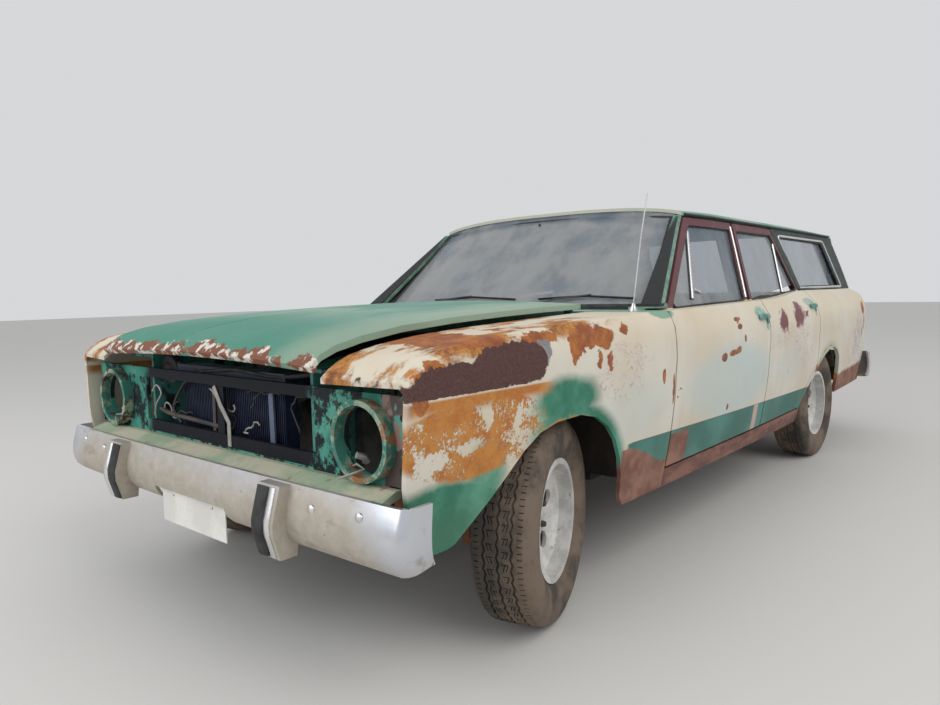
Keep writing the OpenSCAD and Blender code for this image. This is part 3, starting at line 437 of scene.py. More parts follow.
# %% Chalky green for bonnet, roof and scuttle
def chalky_green():
    f = Finish("chalky_green", (0.115, 0.275, 0.215))
    streaks = f.noise(3.2, 5, 0.6, f.stretched(0.35, 1.6, 1))
    clouds = f.noise(1.7, 3)
    fine = f.noise(55, 5, 0.7)
    f.lay(streaks.ramp(0.36, 0.64), (0.25, 0.40, 0.325))
    f.lay(clouds.ramp(0.42, 0.66) * 0.75, (0.36, 0.46, 0.385))
    f.lay((f.x + streaks * 0.5 + abs(f.y) * -0.25).ramp(1.85, 2.35) * 0.85, (0.032, 0.215, 0.150))
    f.lay((f.y - 0.30 + streaks * 0.3).ramp(0.15, 0.42) * (f.x > 1.1) * 0.55, (0.34, 0.40, 0.30))
    f.lay(fine.ramp(0.62, 0.7) * 0.5, (0.05, 0.17, 0.14))
    torn = (f.noise(7, 4, 0.6, f.stretched(0.3, 1, 0.3)) - 0.5) * 0.16
    lip = (f.x + (fine - 0.5) * 0.05 + torn).ramp(2.285, 2.289)
    f.lay(lip, f.mix(f.noise(30, 4).ramp(0.42, 0.50), PALE_CREAM, BROWN_RUST))
    side_edge = (abs(f.y) + (fine - 0.5) * 0.012).ramp(0.625, 0.632) * (f.x > 1.1)
    f.lay(side_edge * f.noise(11, 4).ramp(0.45, 0.6), ORANGE_RUST)
    roof_front = (f.x - f.y * f.y * -0.1).ramp(0.425, 0.432) * (f.x < 0.6) * (f.z > 1.3)
    f.lay(roof_front, OLD_CREAM)
    f.lay(f.noise(24, 4, 0.6).ramp(0.70, 0.73) * clouds.ramp(0.42, 0.6), BROWN_RUST)
    dents = f.bump(f.noise(2.1, 2), 0.01, 0.5)
    return f.set(Roughness=0.52 + fine * 0.2, Normal=f.bump(fine, 0.0012, 0.5, dents))


CHALKY_GREEN = chalky_green()
print("made", CHALKY_GREEN.name)

# %% [markdown]
# Most small parts are one colour gone patchy. One function makes them all: two colours broken up by noise, a
# third in blotches where it is wanted, a range of roughness and a fine grain.

# %% Plain finishes
def mottled(name, first, second, scale=9.0, blend=(0.4, 0.6), rough=(0.5, 0.8), grain=0.0008, metal=0.0,
            third=None, share=0.6):
    f = Finish(name, first)
    fine_grain = f.noise(scale * 9, 4, 0.65)
    f.lay((f.noise(scale, 5, 0.6) + (fine_grain - 0.5) * 0.25).ramp(*blend), second)
    if third:
        f.lay(f.noise(scale * 2.3, 5, 0.65, f.stretched(1, 1.3, 0.8)).ramp(share, share + 0.08), third)
    return f.set(Roughness=fine_grain * (rough[1] - rough[0]) + rough[0], Metallic=metal,
                 Normal=f.bump(fine_grain, grain, 0.8))


RUSTY = mottled("rusty_steel", (0.155, 0.058, 0.028), (0.27, 0.115, 0.05), 7, rough=(0.7, 0.95),
                third=(0.045, 0.032, 0.028))
UNDERSEAL = mottled("underseal", (0.012, 0.010, 0.009), (0.045, 0.028, 0.019), 6, rough=(0.7, 0.95),
                    third=(0.13, 0.055, 0.026), share=0.66)
BAY_PAINT = mottled("bay_paint", (0.028, 0.16, 0.135), (0.05, 0.22, 0.19), 6, rough=(0.45, 0.75),
                    third=(0.012, 0.016, 0.018), share=0.52)
DARK_STEEL = mottled("dark_steel", (0.028, 0.03, 0.034), (0.075, 0.06, 0.05), 10, rough=(0.5, 0.85),
                     third=(0.13, 0.055, 0.028))
GREASY = mottled("greasy_casting", (0.035, 0.034, 0.035), (0.10, 0.085, 0.07), 12, rough=(0.4, 0.7), metal=0.4)
CORE = mottled("radiator_core_blue", (0.007, 0.012, 0.035), (0.016, 0.026, 0.062), 16, rough=(0.4, 0.6))
BRIGHT = mottled("bright_trim", (0.62, 0.62, 0.62), (0.72, 0.72, 0.72), 8, rough=(0.18, 0.34), metal=0.9,
                 grain=0.0002)
PLASTIC = mottled("black_plastic_worn", (0.018, 0.018, 0.02), (0.05, 0.05, 0.052), 14, rough=(0.4, 0.6),
                  grain=0.0004)
SEAL = mottled("black_rubber_seal", (0.012, 0.012, 0.013), (0.03, 0.03, 0.03), 20, rough=(0.55, 0.8),
               grain=0.0004)
VINYL = mottled("worn_vinyl", (0.16, 0.085, 0.055), (0.24, 0.14, 0.09), 8, rough=(0.4, 0.65), grain=0.0005,
                third=(0.10, 0.05, 0.035))
PLATE = mottled("blank_plate", (0.66, 0.65, 0.60), (0.76, 0.75, 0.71), 7, rough=(0.4, 0.6), grain=0.0003,
                third=(0.48, 0.42, 0.33), share=0.7)
TYRE = mottled("dusty_tyre", (0.050, 0.041, 0.034), (0.165, 0.122, 0.088), 7, blend=(0.36, 0.62),
               rough=(0.7, 0.92), grain=0.0006)
RIM = mottled("silver_rim", (0.50, 0.49, 0.47), (0.66, 0.65, 0.63), 12, rough=(0.38, 0.6), grain=0.0005,
              metal=0.25, third=(0.33, 0.24, 0.17), share=0.64)
VALANCE = mottled("valance_paint", (0.30, 0.40, 0.27), (0.50, 0.48, 0.36), 5, rough=(0.45, 0.7),
                  third=(0.32, 0.14, 0.09), share=0.62)
LAMP_RED = mottled("tail_lamp_red", (0.25, 0.012, 0.012), (0.32, 0.03, 0.02), 10, rough=(0.15, 0.3),
                   grain=0.0002)
HANDLE = mottled("worn_green_handle", (0.05, 0.20, 0.17), (0.20, 0.33, 0.31), 30, rough=(0.3, 0.5), metal=0.3)
PALE_WIRE = mottled("pale_grey_steel", (0.30, 0.29, 0.27), (0.42, 0.41, 0.38), 25, rough=(0.45, 0.7),
                    metal=0.3)
STRUT_BLUE = mottled("blue_grey_strut", (0.075, 0.10, 0.16), (0.12, 0.15, 0.22), 15, rough=(0.4, 0.6))
PALE_LENS = mottled("pale_lens", (0.55, 0.56, 0.52), (0.64, 0.62, 0.55), 10, rough=(0.12, 0.25), grain=0.0002)
print("plain finishes made, materials:", len(bpy.data.materials))

# %% [markdown]
# The pillars and sills are one pressing with many coats: green round the windscreen, black seals beside its
# glass, rusty primer on the sill, and near black behind the rear doors. Splitting the mesh by coat would cut
# the paint along straight edges, so one material holds them all by place.

# %% Pillars and sills
def pillar_paint():
    f = Finish("pillar_paint", (0.60, 0.57, 0.47))
    fine = f.noise(30, 5, 0.65)
    f.lay(f.noise(6, 4).ramp(0.4, 0.6), (0.42, 0.50, 0.42))
    screen_green = f.mix(fine.ramp(0.4, 0.65), (0.10, 0.215, 0.165), (0.22, 0.34, 0.27))
    f.lay((f.x > 0.22) * f.z.ramp(0.86, 0.90), screen_green)
    # lean measures across the sloping windscreen pillar
    lean = f.x + (f.z - 0.945) * 1.2
    beside_glass = (f.x > 0.22) * (f.z > 0.955) * (f.z < 1.33)
    f.lay((1 - lean.ramp(0.846, 0.850)).max(lean.ramp(0.878, 0.881)) * beside_glass, (0.012, 0.014, 0.014))
    streaks = f.noise(8, 5, 0.6, f.stretched(0.6, 1, 1.5))
    sill = f.mix(streaks.ramp(0.4, 0.6), (0.115, 0.044, 0.034), (0.23, 0.105, 0.075))
    f.lay(1 - f.z.ramp(0.40, 0.42), f.mix(fine.ramp(0.6, 0.7), sill, ORANGE_RUST))
    behind_doors = (f.x < -0.56) * (f.z > 0.957 + (0 - f.x) * 0.006)
    f.lay(behind_doors, f.mix(fine.ramp(0.45, 0.62), (0.014, 0.022, 0.020), (0.035, 0.075, 0.060)))
    inner = (0.80 - abs(f.y)).ramp(0.0, 0.004) * f.z.ramp(0.4, 0.42) * (f.z < 0.9)
    f.lay(inner, (0.05, 0.16, 0.13))
    return f.set(Roughness=0.45 + fine * 0.3, Normal=f.bump(fine, 0.0008, 0.6))


PILLAR_PAINT = pillar_paint()
print("made", PILLAR_PAINT.name)

# %% [markdown]
# The bumper is chrome under a beige film of dust, thinner toward the top of the blade and at its ends. Where
# the film is thick the steel also stops being a mirror, so the film drives metallic and roughness too.

# %% Dusty chrome
def dusty_chrome():
    f = Finish("dusty_chrome", (0.60, 0.62, 0.66))
    thickness, fine = f.noise(2.6, 4), f.noise(28, 5, 0.7)
    film = (thickness * 0.8 + (0.47 - f.z) * 3.0 + 0.44 - abs(f.y).ramp(0.70, 0.90) * 0.55).ramp(0.25, 0.85)
    f.lay(film, f.mix(fine.ramp(0.35, 0.7), (0.40, 0.355, 0.29), (0.47, 0.43, 0.37)))
    f.lay(f.noise(9, 5, 0.65, f.stretched(1, 0.7, 1.6)).ramp(0.56, 0.72) * 0.55, (0.27, 0.20, 0.145))
    f.lay(f.noise(42, 3).ramp(0.72, 0.75), (0.16, 0.07, 0.035))
    return f.set(Metallic=0.85 - film * 0.6, Roughness=0.20 + film * 0.3 + fine * 0.08,
                 Normal=f.bump(fine, 0.0004, 0.5))


CHROME = dusty_chrome()
print("made", CHROME.name)

# %% [markdown]
# The front panel is teal at the sides with black stains, near black over the radiator, where dark navy paint is
# darkened further as painted shade, and primer outboard, with a painted ring round each lamp hole. The rings
# are a span of distance from the lamp's centre.

# %% Front panel
LAMP_Y, LAMP_Z = 0.692, 0.664


def support_paint():
    f = Finish("support_paint", (0.03, 0.20, 0.15))
    fine = f.noise(26, 6, 0.7)
    f.lay(f.noise(6, 3).ramp(0.4, 0.6), (0.09, 0.32, 0.25))
    stain = (f.noise(11, 6, 0.7, f.stretched(1, 1, 0.8)) + (fine - 0.5) * 0.3).ramp(0.47, 0.55)
    f.lay(stain, (0.010, 0.016, 0.018))
    # navy paint and painted shade: the middle over the radiator is taken to near black for the shade in the
    # grille opening
    middle = (1 - abs(f.y).ramp(0.44, 0.50)) * (f.z > 0.562)
    f.lay(middle, f.mix(fine.ramp(0.4, 0.7), (0.0025, 0.0035, 0.007), (0.010, 0.012, 0.020)))
    across, above = abs(f.y) - LAMP_Y, f.z - LAMP_Z
    reach = across * across + above * above
    left = (f.y > 0) * 1.0
    ring = reach.between(0.0078, 0.0082, 0.0108, 0.0112) * (f.x > 2.2155)
    ring_coat = f.mix((fine + (f.noise(9, 4) - 0.5)).ramp(0.42, 0.56), (0.30, 0.36, 0.26), (0.05, 0.19, 0.15))
    ring_rust = f.mix(left, (0.075, 0.045, 0.035), (0.34, 0.13, 0.05))
    f.lay(ring, f.mix(f.noise(17, 5, 0.7).ramp(0.52, 0.58), ring_coat, ring_rust))
    outboard = (across + (fine - 0.5) * 0.02).ramp(0.055, 0.062) * (1 - ring) * left
    outboard_coat = f.mix(f.noise(13, 4).ramp(0.5, 0.56), (0.10, 0.075, 0.07), (0.30, 0.20, 0.18))
    old_teal = f.noise(19, 4, 0.6, f.stretched(1, 1.2, 1, 0.5)).ramp(0.60, 0.63)
    f.lay(outboard, f.mix(old_teal, outboard_coat, (0.10, 0.32, 0.25)))
    return f.set(Roughness=0.5 + fine * 0.4, Specular_IOR_Level=0.25, Normal=f.bump(fine, 0.001, 0.8))


SUPPORT_PAINT = support_paint()
print("made", SUPPORT_PAINT.name)

# %% [markdown]
# The glass is dusty enough to hide half the cabin. Real refraction would be slow and noisy here, so the panes
# are see-through by Alpha, and the dust makes them paler, rougher and less clear. The windscreen is the
# dustiest, so there is more of it on all glass ahead of the windscreen's head.

# %% Glass
def glass():
    f = Finish("dusty_glass")
    dust = f.noise(5, 5, 0.6, f.stretched(1, 1, 0.5)).ramp(0.3, 0.75)
    windscreen = (f.x - 0.45).ramp(0, 0.03)
    f.colour = f.mix((dust + windscreen * 0.5).min(1), (0.13, 0.19, 0.25), (0.30, 0.31, 0.315))
    return f.set(Roughness=0.06 + dust * 0.22, Alpha=0.46 + dust * 0.24 + windscreen * 0.16)


GLASS = glass()
print("finishes:", len(bpy.data.materials))

# %% [markdown]
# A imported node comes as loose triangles, flat and hard at every fold. Modelling the pressings again would
# lose their fit, so each one is a copy: its doubled points are merged, its sharp folds are marked, the rest
# is shaded smooth, and a Bevel gives the folds the small radius that pressed steel has.

# %% Pressed panels
FOLD_ANGLE = math.radians(38)


def merged_copy(node):
    mesh = bmesh.new()
    mesh.from_mesh(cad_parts[node].data)
    bmesh.ops.remove_doubles(mesh, verts=mesh.verts, dist=2e-5)
    return mesh


def finished(mesh, name, material, body, sharp=32):
    """Turn a bmesh into an object that rides on a body."""
    for face in mesh.faces:
        face.smooth = True
    for edge in mesh.edges:
        edge.smooth = len(edge.link_faces) == 2 and edge.calc_face_angle(0) < math.radians(sharp)
    data = bpy.data.meshes.new(name)
    mesh.to_mesh(data)
    mesh.free()
    data.materials.append(material)
    piece = bpy.data.objects.new(name, data)
    scene.collection.objects.link(piece)
    if body:
        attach(piece, body)
    return piece


def softened(piece, width, segments=2):
    bevel = piece.modifiers.new("soft folds", "BEVEL")
    bevel.width = width
    bevel.segments = segments
    bevel.limit_method = "ANGLE"
    bevel.angle_limit = FOLD_ANGLE
    bevel.harden_normals = True
    return piece


panels = {"roof_panel": ("body", CHALKY_GREEN), "bonnet": ("bonnet", CHALKY_GREEN),
          "tailgate": ("tailgate", SIDE_PAINT), "pillars_and_sills": ("body", PILLAR_PAINT)}
for side in SIDES:
    for node in (f"{side}_front_wing", f"{side}_quarter_panel"):
        panels[node] = ("body", SIDE_PAINT)
    for node in (f"{side}_front_door", f"{side}_rear_door"):
        panels[node] = (node, SIDE_PAINT)
for node, (body, material) in panels.items():
    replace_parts(softened(finished(merged_copy(node), node + "_skin", material, body), 0.0016), node)
for node in ("front_bumper", "rear_bumper"):
    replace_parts(softened(finished(merged_copy(node), node + "_blade", CHROME, "body", 40), 0.003), node)
print("pressed panels:", len(panels), "and 2 bumper blades")

# %% [markdown]
# Parts that are plain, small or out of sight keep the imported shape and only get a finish. Every node has
# its own slot, so the finish goes straight onto it.

# %% Finishes on the plain nodes
plain_nodes = {
    RUSTY: ["rear_axle", "front_suspension", "exhaust", "left_knuckle", "right_knuckle"],
    GLASS: ["fixed_glass", "tailgate_glass", "left_front_glass", "right_front_glass", "left_rear_glass",
            "right_rear_glass"],
    GREASY: ["driveline", "engine_block"],
    PLASTIC: ["dashboard", "steering_wheel"],
    CHALKY_GREEN: ["cowl_and_firewall"],
    BAY_PAINT: ["inner_aprons"],
    SUPPORT_PAINT: ["radiator_support"],
    CORE: ["radiator"],
    VALANCE: ["front_valance"],
    UNDERSEAL: ["floor_pan"],
    DARK_STEEL: ["fuel_tank"],
    PLATE: ["number_plate"],
}
for material, nodes in plain_nodes.items():
    for node in nodes:
        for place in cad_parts[node].material_slots:
            place.material = material
print("plain nodes:", sum(len(nodes) for nodes in plain_nodes.values()))

# %% [markdown]
# Most trim is a bar of constant section that follows a line: seals, rails, wipers, hoses and handles. A curve
# with a bevel could do it, but its section is hard to keep flat against a curved panel. So a ring is set at
# each point of the line, flat where the bar is flat, and the rings are bridged.

# %% Bars along a line
def bar_piece(name, points, half_width, half_depth, material, body, out=(0, 0, 1), sides=10, closed=False,
              taper=None):
    """A closed bar through the points. half_depth is measured along out, half_width across it."""
    mesh = bmesh.new()
    points = [Vector(point) for point in points]
    rings = []
    for index, point in enumerate(points):
        after = points[(index + 1) % len(points)] if closed or index + 1 < len(points) else point
        before = points[index - 1] if closed or index else point
        along = (after - before).normalized()
        outward = (Vector(out) - along * along.dot(Vector(out))).normalized()
        across = outward.cross(along)
        size = taper(index / max(1, len(points) - 1)) if taper else 1
        axes = Matrix((across * half_width * size, outward * half_depth * size, along)).transposed().to_4x4()
        ring = bmesh.ops.create_circle(mesh, cap_ends=False, segments=sides, radius=1,
                                       matrix=Matrix.Translation(point) @ axes)
        rings.append(list({edge for vert in ring["verts"] for edge in vert.link_edges}))
    for first, second in zip(rings, rings[1:] + (rings[:1] if closed else [])):
        bmesh.ops.bridge_loops(mesh, edges=first + second)
    if not closed:
        for ring in (rings[0], rings[-1]):
            bmesh.ops.holes_fill(mesh, edges=ring, sides=sides)
    bmesh.ops.recalc_face_normals(mesh, faces=mesh.faces)
    return finished(mesh, name, material, body, 50)


print("bars ready")

# %% [markdown]
# Boxes with round edges and lathe pieces cover the rest of the trim. A lathe piece is an outline of a few
# points spun round its axis, as the real cap or nut was turned.

# %% Blocks and turned pieces
def block(name, low, high, material, body, round_by=0.004, turn=None, about=None):
    mesh = bmesh.new()
    low, high = Vector(low), Vector(high)
    shape = Matrix.Translation((low + high) / 2) @ Matrix.Diagonal((*(high - low), 1))
    bmesh.ops.create_cube(mesh, size=1, matrix=shape)
    bmesh.ops.bevel(mesh, geom=mesh.edges[:], offset=round_by, segments=3, profile=0.5, affect="EDGES",
                    material=-1)
    if turn:
        bmesh.ops.rotate(mesh, verts=mesh.verts, cent=about, matrix=turn)
    return finished(mesh, name, material, body)


def turned(name, centre, axis, outline, material, body, steps=32):
    """A lathe piece: outline holds (distance along the axis, radius)."""
    mesh = bmesh.new()
    corners = [mesh.verts.new((radius, 0, along)) for along, radius in outline]
    edges = [mesh.edges.new(pair) for pair in zip(corners, corners[1:])]
    bmesh.ops.spin(mesh, geom=corners + edges, cent=(0, 0, 0), axis=(0, 0, 1), angle=math.tau, steps=steps,
                   use_merge=True)
    bmesh.ops.remove_doubles(mesh, verts=mesh.verts, dist=1e-5)
    open_edges = [edge for edge in mesh.edges if edge.is_boundary]
    if open_edges:
        bmesh.ops.holes_fill(mesh, edges=open_edges, sides=0)
    bmesh.ops.recalc_face_normals(mesh, faces=mesh.faces)
    place = Matrix.Translation(centre) @ Vector(axis).to_track_quat("Z", "Y").to_matrix().to_4x4()
    bmesh.ops.transform(mesh, matrix=place, verts=mesh.verts)
    return finished(mesh, name, material, body)


print("blocks and turned pieces ready")

# %% [markdown]
# Trim has to lie on panels that curve two ways. Copying their formulas here would be long and would drift
# from the real part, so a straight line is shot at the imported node, and the trim goes where it lands.

# %% Finding the panels
BEYOND = {"side": 1.2, "ends": 2.6, "top": 1.4}
TREES = {}


def touch(node, start, toward):
    """Where a straight line from start first meets a node."""
    if node not in TREES:
        mesh = merged_copy(node)
        TREES[node] = BVHTree.FromBMesh(mesh)
        mesh.free()
    return TREES[node].ray_cast(Vector(start), Vector(toward).normalized())[0]


def from_side(node, sign, x, z):
    return touch(node, (x, sign * BEYOND["side"], z), (0, -sign, 0))


def from_front(node, y, z):
    return touch(node, (BEYOND["ends"], y, z), (-1, 0, 0))


def from_behind(node, y, z):
    return touch(node, (-BEYOND["ends"], y, z), (1, 0, 0))


def from_above(node, x, y):
    return touch(node, (x, y, BEYOND["top"]), (0, 0, -1))


def on_side(node, sign, x, z, off=0.0):
    """A place on the car's side, off by a small distance outward."""
    return from_side(node, sign, x, z) + Vector((0, sign * off, 0))


print("rays ready")

# %% [markdown]
# The tyres have three zig-zag grooves, short slits across the shoulders and small cuts in the two ribs
# between the grooves. A bump map would look flat at the edge of the wheel, so they are real cuts. The section
# is spun round the axle, its steps sway to either side in turn for the zig-zag, and narrow strips of the
# crown are pushed inward.

# %% Tyre tread
TYRE_R, STEPS = 0.3178, 108
GROOVES, GROOVE_HALF, GROOVE_DEPTH = (-0.041, 0.0, 0.041), 0.0042, 0.008
SWAY, TREAD_FLOOR, TREAD_HALF = 0.0032, 0.3, 0.05
SHOULDER = [(0.187, 0.069), (0.193, 0.074), (0.206, 0.084), (0.226, 0.0925), (0.256, 0.0965),
            (0.284, 0.0925), (0.302, 0.085), (0.3105, 0.077)]
CROWN = [0.071, 0.058, 0.0445, 0.0375, 0.0285, 0.0195, 0.0105, 0.0035]


def step_of(point):
    return round(math.atan2(point.x, point.z) / math.tau * STEPS)


def crosswise(edge, low, high):
    """Is this a tread edge between two distances from the middle, with its ends apart sideways?"""
    first, second = (vert.co for vert in edge.verts)
    level_edge = abs(first.xz.length - second.xz.length) < 0.006 and abs(first.y - second.y) > 0.005
    inside = all(low < abs(point.y) < high for point in (first, second))
    return level_edge and inside and first.xz.length > TREAD_FLOOR


def tyre(name, node, centre, turn, body):
    mesh = bmesh.new()
    half = SHOULDER + [(TYRE_R - 0.6 * y * y, y) for y in CROWN]
    section = half + [(radius, -y) for radius, y in reversed(half)]
    corners = [mesh.verts.new((0, y, radius)) for radius, y in section]
    edges = [mesh.edges.new(pair) for pair in zip(corners, corners[1:] + corners[:1])]
    bmesh.ops.spin(mesh, geom=corners + edges, cent=(0, 0, 0), axis=(0, 1, 0), angle=math.tau, steps=STEPS,
                   use_merge=True)
    bmesh.ops.remove_doubles(mesh, verts=mesh.verts, dist=1e-5)
    bmesh.ops.recalc_face_normals(mesh, faces=mesh.faces)
    for vert in mesh.verts:
        if abs(vert.co.y) < TREAD_HALF and vert.co.xz.length > TREAD_FLOOR:
            vert.co.y += SWAY if step_of(vert.co) % 2 else -SWAY
    slits = [edge for edge in mesh.edges if crosswise(edge, 0.049, 0.0712)]
    # in the ribs, swayed edges that run along count too, so these cuts vary a little from tyre to tyre
    slits += [edge for edge in mesh.edges if crosswise(edge, 0.012, 0.035)
              and step_of(edge.verts[0].co) % 2 == (edge.verts[0].co.y > 0)]
    cut = bmesh.ops.bevel(mesh, geom=slits, offset=0.0017, segments=1, profile=0.5, affect="EDGES",
                          material=-1)
    narrow = [face for face in cut["faces"] if face.calc_area() < 9e-5]
    bmesh.ops.inset_region(mesh, faces=narrow, thickness=0.0002, depth=-0.005, use_even_offset=False)
    for groove in GROOVES:
        strip = [face for face in mesh.faces if abs(face.calc_center_median().y - groove) < GROOVE_HALF
                 and face.calc_center_median().xz.length > TREAD_FLOOR]
        bmesh.ops.inset_region(mesh, faces=strip, thickness=0.0006, depth=-GROOVE_DEPTH, use_even_offset=False)
    bmesh.ops.rotate(mesh, verts=mesh.verts, cent=(0, 0, 0), matrix=Matrix.Rotation(turn, 3, "Z"))
    bmesh.ops.translate(mesh, verts=mesh.verts, vec=centre)
    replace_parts(finished(mesh, name, TYRE, body, 40), node)


print("tread steps:", STEPS)

# %% [markdown]
# The front wheels stand steered, so their pieces are turned with them. Each pressed rim keeps the packed
# shape with softened folds, and five nuts sit where rays meet it.

# %% Wheels
STEERED = math.radians(17)
NUTS, NUT_CIRCLE, FIRST_NUT = 5, 0.056, 0.3
NUT_OUTLINE = [(0, 0.011), (0.004, 0.011), (0.016, 0.0085), (0.018, 0.004)]
for side, sign in SIDES.items():
    for end, turn in {"front": STEERED, "rear": 0}.items():
        name = f"{side}_{end}"
        body = name + "_wheel"
        low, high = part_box(name + "_tyre")
        middle = (low + high) / 2
        tyre(name + "_tread", name + "_tyre", middle, turn, body)
        rim = finished(merged_copy(name + "_rim"), name + "_pressed_rim", RIM, body, 30)
        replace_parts(softened(rim, 0.0012), name + "_rim")
        steer = Matrix.Rotation(turn, 3, "Z")
        out = steer @ Vector((0, sign, 0))
        for nut in range(NUTS):
            round_hub = Matrix.Rotation(nut * math.tau / NUTS + FIRST_NUT, 3, "Y")
            place = steer @ round_hub @ Vector((0, 0, NUT_CIRCLE))
            seat = touch(name + "_rim", middle + place + out * 0.3, -out)
            turned(f"{name}_nut_{nut}", seat - out * 0.002, out, NUT_OUTLINE, DARK_STEEL, body, 6)
print("wheels: 4, nuts on each:", NUTS)

# %% [markdown]
# A rubber seal follows the inner edge of each window frame. The frame's edge isn't stored anywhere, so rays
# go outward from the middle of the pane, in the pane's own plane, until they meet the frame.

# %% Window seals
def pane_plane(glass_node):
    """Middle and outward direction of a flat pane."""
    mesh = merged_copy(glass_node)
    normal = max(mesh.faces, key=lambda face: face.calc_area()).normal.copy()
    mesh.free()
    low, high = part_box(glass_node)
    middle = (low + high) / 2
    return middle, normal if normal.y * middle.y > 0 else -normal


def on_plane(plane, x, z, off):
    middle, normal = plane
    y = middle.y - (normal.x * (x - middle.x) + normal.z * (z - middle.z)) / normal.y
    return Vector((x, y, z)) + normal * off


def frame_line(frame_node, plane, lift, count=96):
    """Points where rays in the pane's plane meet the window frame."""
    middle, normal = plane
    first = Vector((1, 0, 0)).cross(normal).normalized()
    second = normal.cross(first)
    points = []
    for index in range(count):
        angle = math.tau * index / count
        toward = first * math.cos(angle) + second * math.sin(angle)
        hit = touch(frame_node, middle + normal * lift, toward)
        if hit and (hit - middle).length < 0.75:
            points.append(hit - toward * 0.003)
    return points


print("window helpers ready")

# %% [markdown]
# Each door window also has a bright divider with a rubber lip, where its small pane begins, and the front
# door a bright strip up its rear post. The post leans, so its edge is found by a scan at each height.

# %% Door windows and drip rails
DIVIDERS = {"front": ((0.553, 0.974), (0.370, 1.262)), "rear": ((-0.600, 0.985), (-0.700, 1.285))}
LIP = 0.014


def post_edge(door, sign, z):
    """A place just inside the post's back edge: the first one, going forward, where the frame is met."""
    places = (-0.11 + 0.003 * step for step in range(40))
    edge_x = next(x for x in places if from_side(door, sign, x, z))
    return on_side(door, sign, edge_x + 0.009, z, 0.001)


for side, sign in SIDES.items():
    for end, (foot, head) in DIVIDERS.items():
        door = f"{side}_{end}_door"
        plane = pane_plane(f"{side}_{end}_glass")
        normal = plane[1]
        seal = frame_line(door, plane, 0.007)
        bar_piece(door + "_seal", seal, 0.006, 0.005, SEAL, door, out=normal, sides=6, closed=True)
        divider = [on_plane(plane, x, z, 0.006) for x, z in (foot, head)]
        bar_piece(door + "_divider", divider, 0.009, 0.006, BRIGHT, door, out=normal, sides=8)
        lip = [on_plane(plane, x + LIP, z, 0.004) for x, z in (foot, head)]
        bar_piece(door + "_divider_rubber", lip, 0.006, 0.004, SEAL, door, out=normal, sides=8)
        if end == "front":
            catch = on_plane(plane, 0.46, 1.0, 0.008)
            catch_line = [catch, catch + Vector((0.05, 0, 0.012))]
            bar_piece(door + "_vent_catch", catch_line, 0.006, 0.004, BRIGHT, door, out=normal)
            strip = [post_edge(door, sign, z) for z in (0.972, 1.06, 1.16, 1.25, 1.31)]
            bar_piece(door + "_post_strip", strip, 0.007, 0.004, BRIGHT, door, out=normal, sides=8)
    # the drip rail hangs just under the roof's edge
    rail = [on_side("roof_panel", sign, 0.36 - 0.05 * step, 1.345, 0.002) for step in range(46)]
    rail = [point - Vector((0, 0, 0.004)) for point in rail]
    bar_piece(side + "_drip_rail", rail, 0.011, 0.007, SEAL, "body", sides=8)
print("door windows:", 2 * len(DIVIDERS))

# %% [markdown]
# A bench is a foam cushion and a foam back under vinyl. A bevelled box looks too hard for foam, so the
# closed shapes below start a little small, and Cloth pressure swells them: the middle crowns, and the sides
# pull in between the corners.

# %% Foam
def swelled(piece, pressure=4.0, cap=0.022, last=20):
    """Inflate a closed mesh with Cloth, and keep every point within cap of its start."""
    start = [vert.co.copy() for vert in piece.data.vertices]
    cloth = piece.modifiers.new("foam", "CLOTH")
    cloth.settings.use_pressure = True
    cloth.settings.uniform_pressure_force = pressure
    cloth.settings.effector_weights.gravity = 0
    cloth.settings.quality = 5
    cloth.point_cache.frame_end = last
    for number in range(1, last + 1):
        scene.frame_set(number)
    solved = piece.evaluated_get(bpy.context.evaluated_depsgraph_get()).to_mesh()
    ends = [vert.co.copy() for vert in solved.vertices]
    piece.modifiers.remove(cloth)
    for vert, before, after in zip(piece.data.vertices, start, ends):
        move = after - before
        vert.co = before + (move if move.length < cap else move.normalized() * cap)
    scene.frame_set(1)


print("foam ready")

# %% [markdown]
# The side view of a cushion is extruded across the car and bevelled, then a voxel Remesh gives it an even
# net, which the Cloth needs. The sewn channels are dips pressed in after the swelling, so they stay narrow.

# %% Cushions
SEAM_WIDTH = 0.010


def cushion(name, outline, half_width, axis, rows):
    """outline is the side view as (x, z). rows are the places of the sewn channels along the axis."""
    mesh = bmesh.new()
    face = mesh.faces.new([mesh.verts.new((x, -half_width, z)) for x, z in outline])
    grown = bmesh.ops.extrude_face_region(mesh, geom=[face])
    far_side = [item for item in grown["geom"] if isinstance(item, bmesh.types.BMVert)]
    bmesh.ops.translate(mesh, verts=far_side, vec=(0, 2 * half_width, 0))
    bmesh.ops.recalc_face_normals(mesh, faces=mesh.faces)
    bmesh.ops.bevel(mesh, geom=mesh.edges[:], offset=0.028, segments=3, profile=0.5, affect="EDGES",
                    material=-1)
    piece = finished(mesh, name, VINYL, None, 180)
    remesh = piece.modifiers.new("even net", "REMESH")
    remesh.mode = "VOXEL"
    remesh.voxel_size = 0.013
    net = bpy.data.meshes.new_from_object(piece.evaluated_get(bpy.context.evaluated_depsgraph_get()))
    piece.modifiers.clear()
    piece.data = net
    swelled(piece)
    # normals are copied first, because each one read after a move would be worked out again
    outward = [vert.normal.copy() for vert in net.vertices]
    for vert, normal in zip(net.vertices, outward):
        from_end = abs(vert.co.y) - half_width + 0.085
        dip = 0.006 * math.exp(-(from_end / SEAM_WIDTH) ** 2)
        dip += sum(0.007 * math.exp(-((getattr(vert.co, axis) - row) / SEAM_WIDTH) ** 2) for row in rows)
        vert.co = vert.co - normal * dip
    net.shade_smooth()
    if not net.materials:
        net.materials.append(VINYL)
    smoother = piece.modifiers.new("smooth", "SUBSURF")
    smoother.levels = smoother.render_levels = 1
    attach(piece, "body")
    return piece


print("cushions ready")

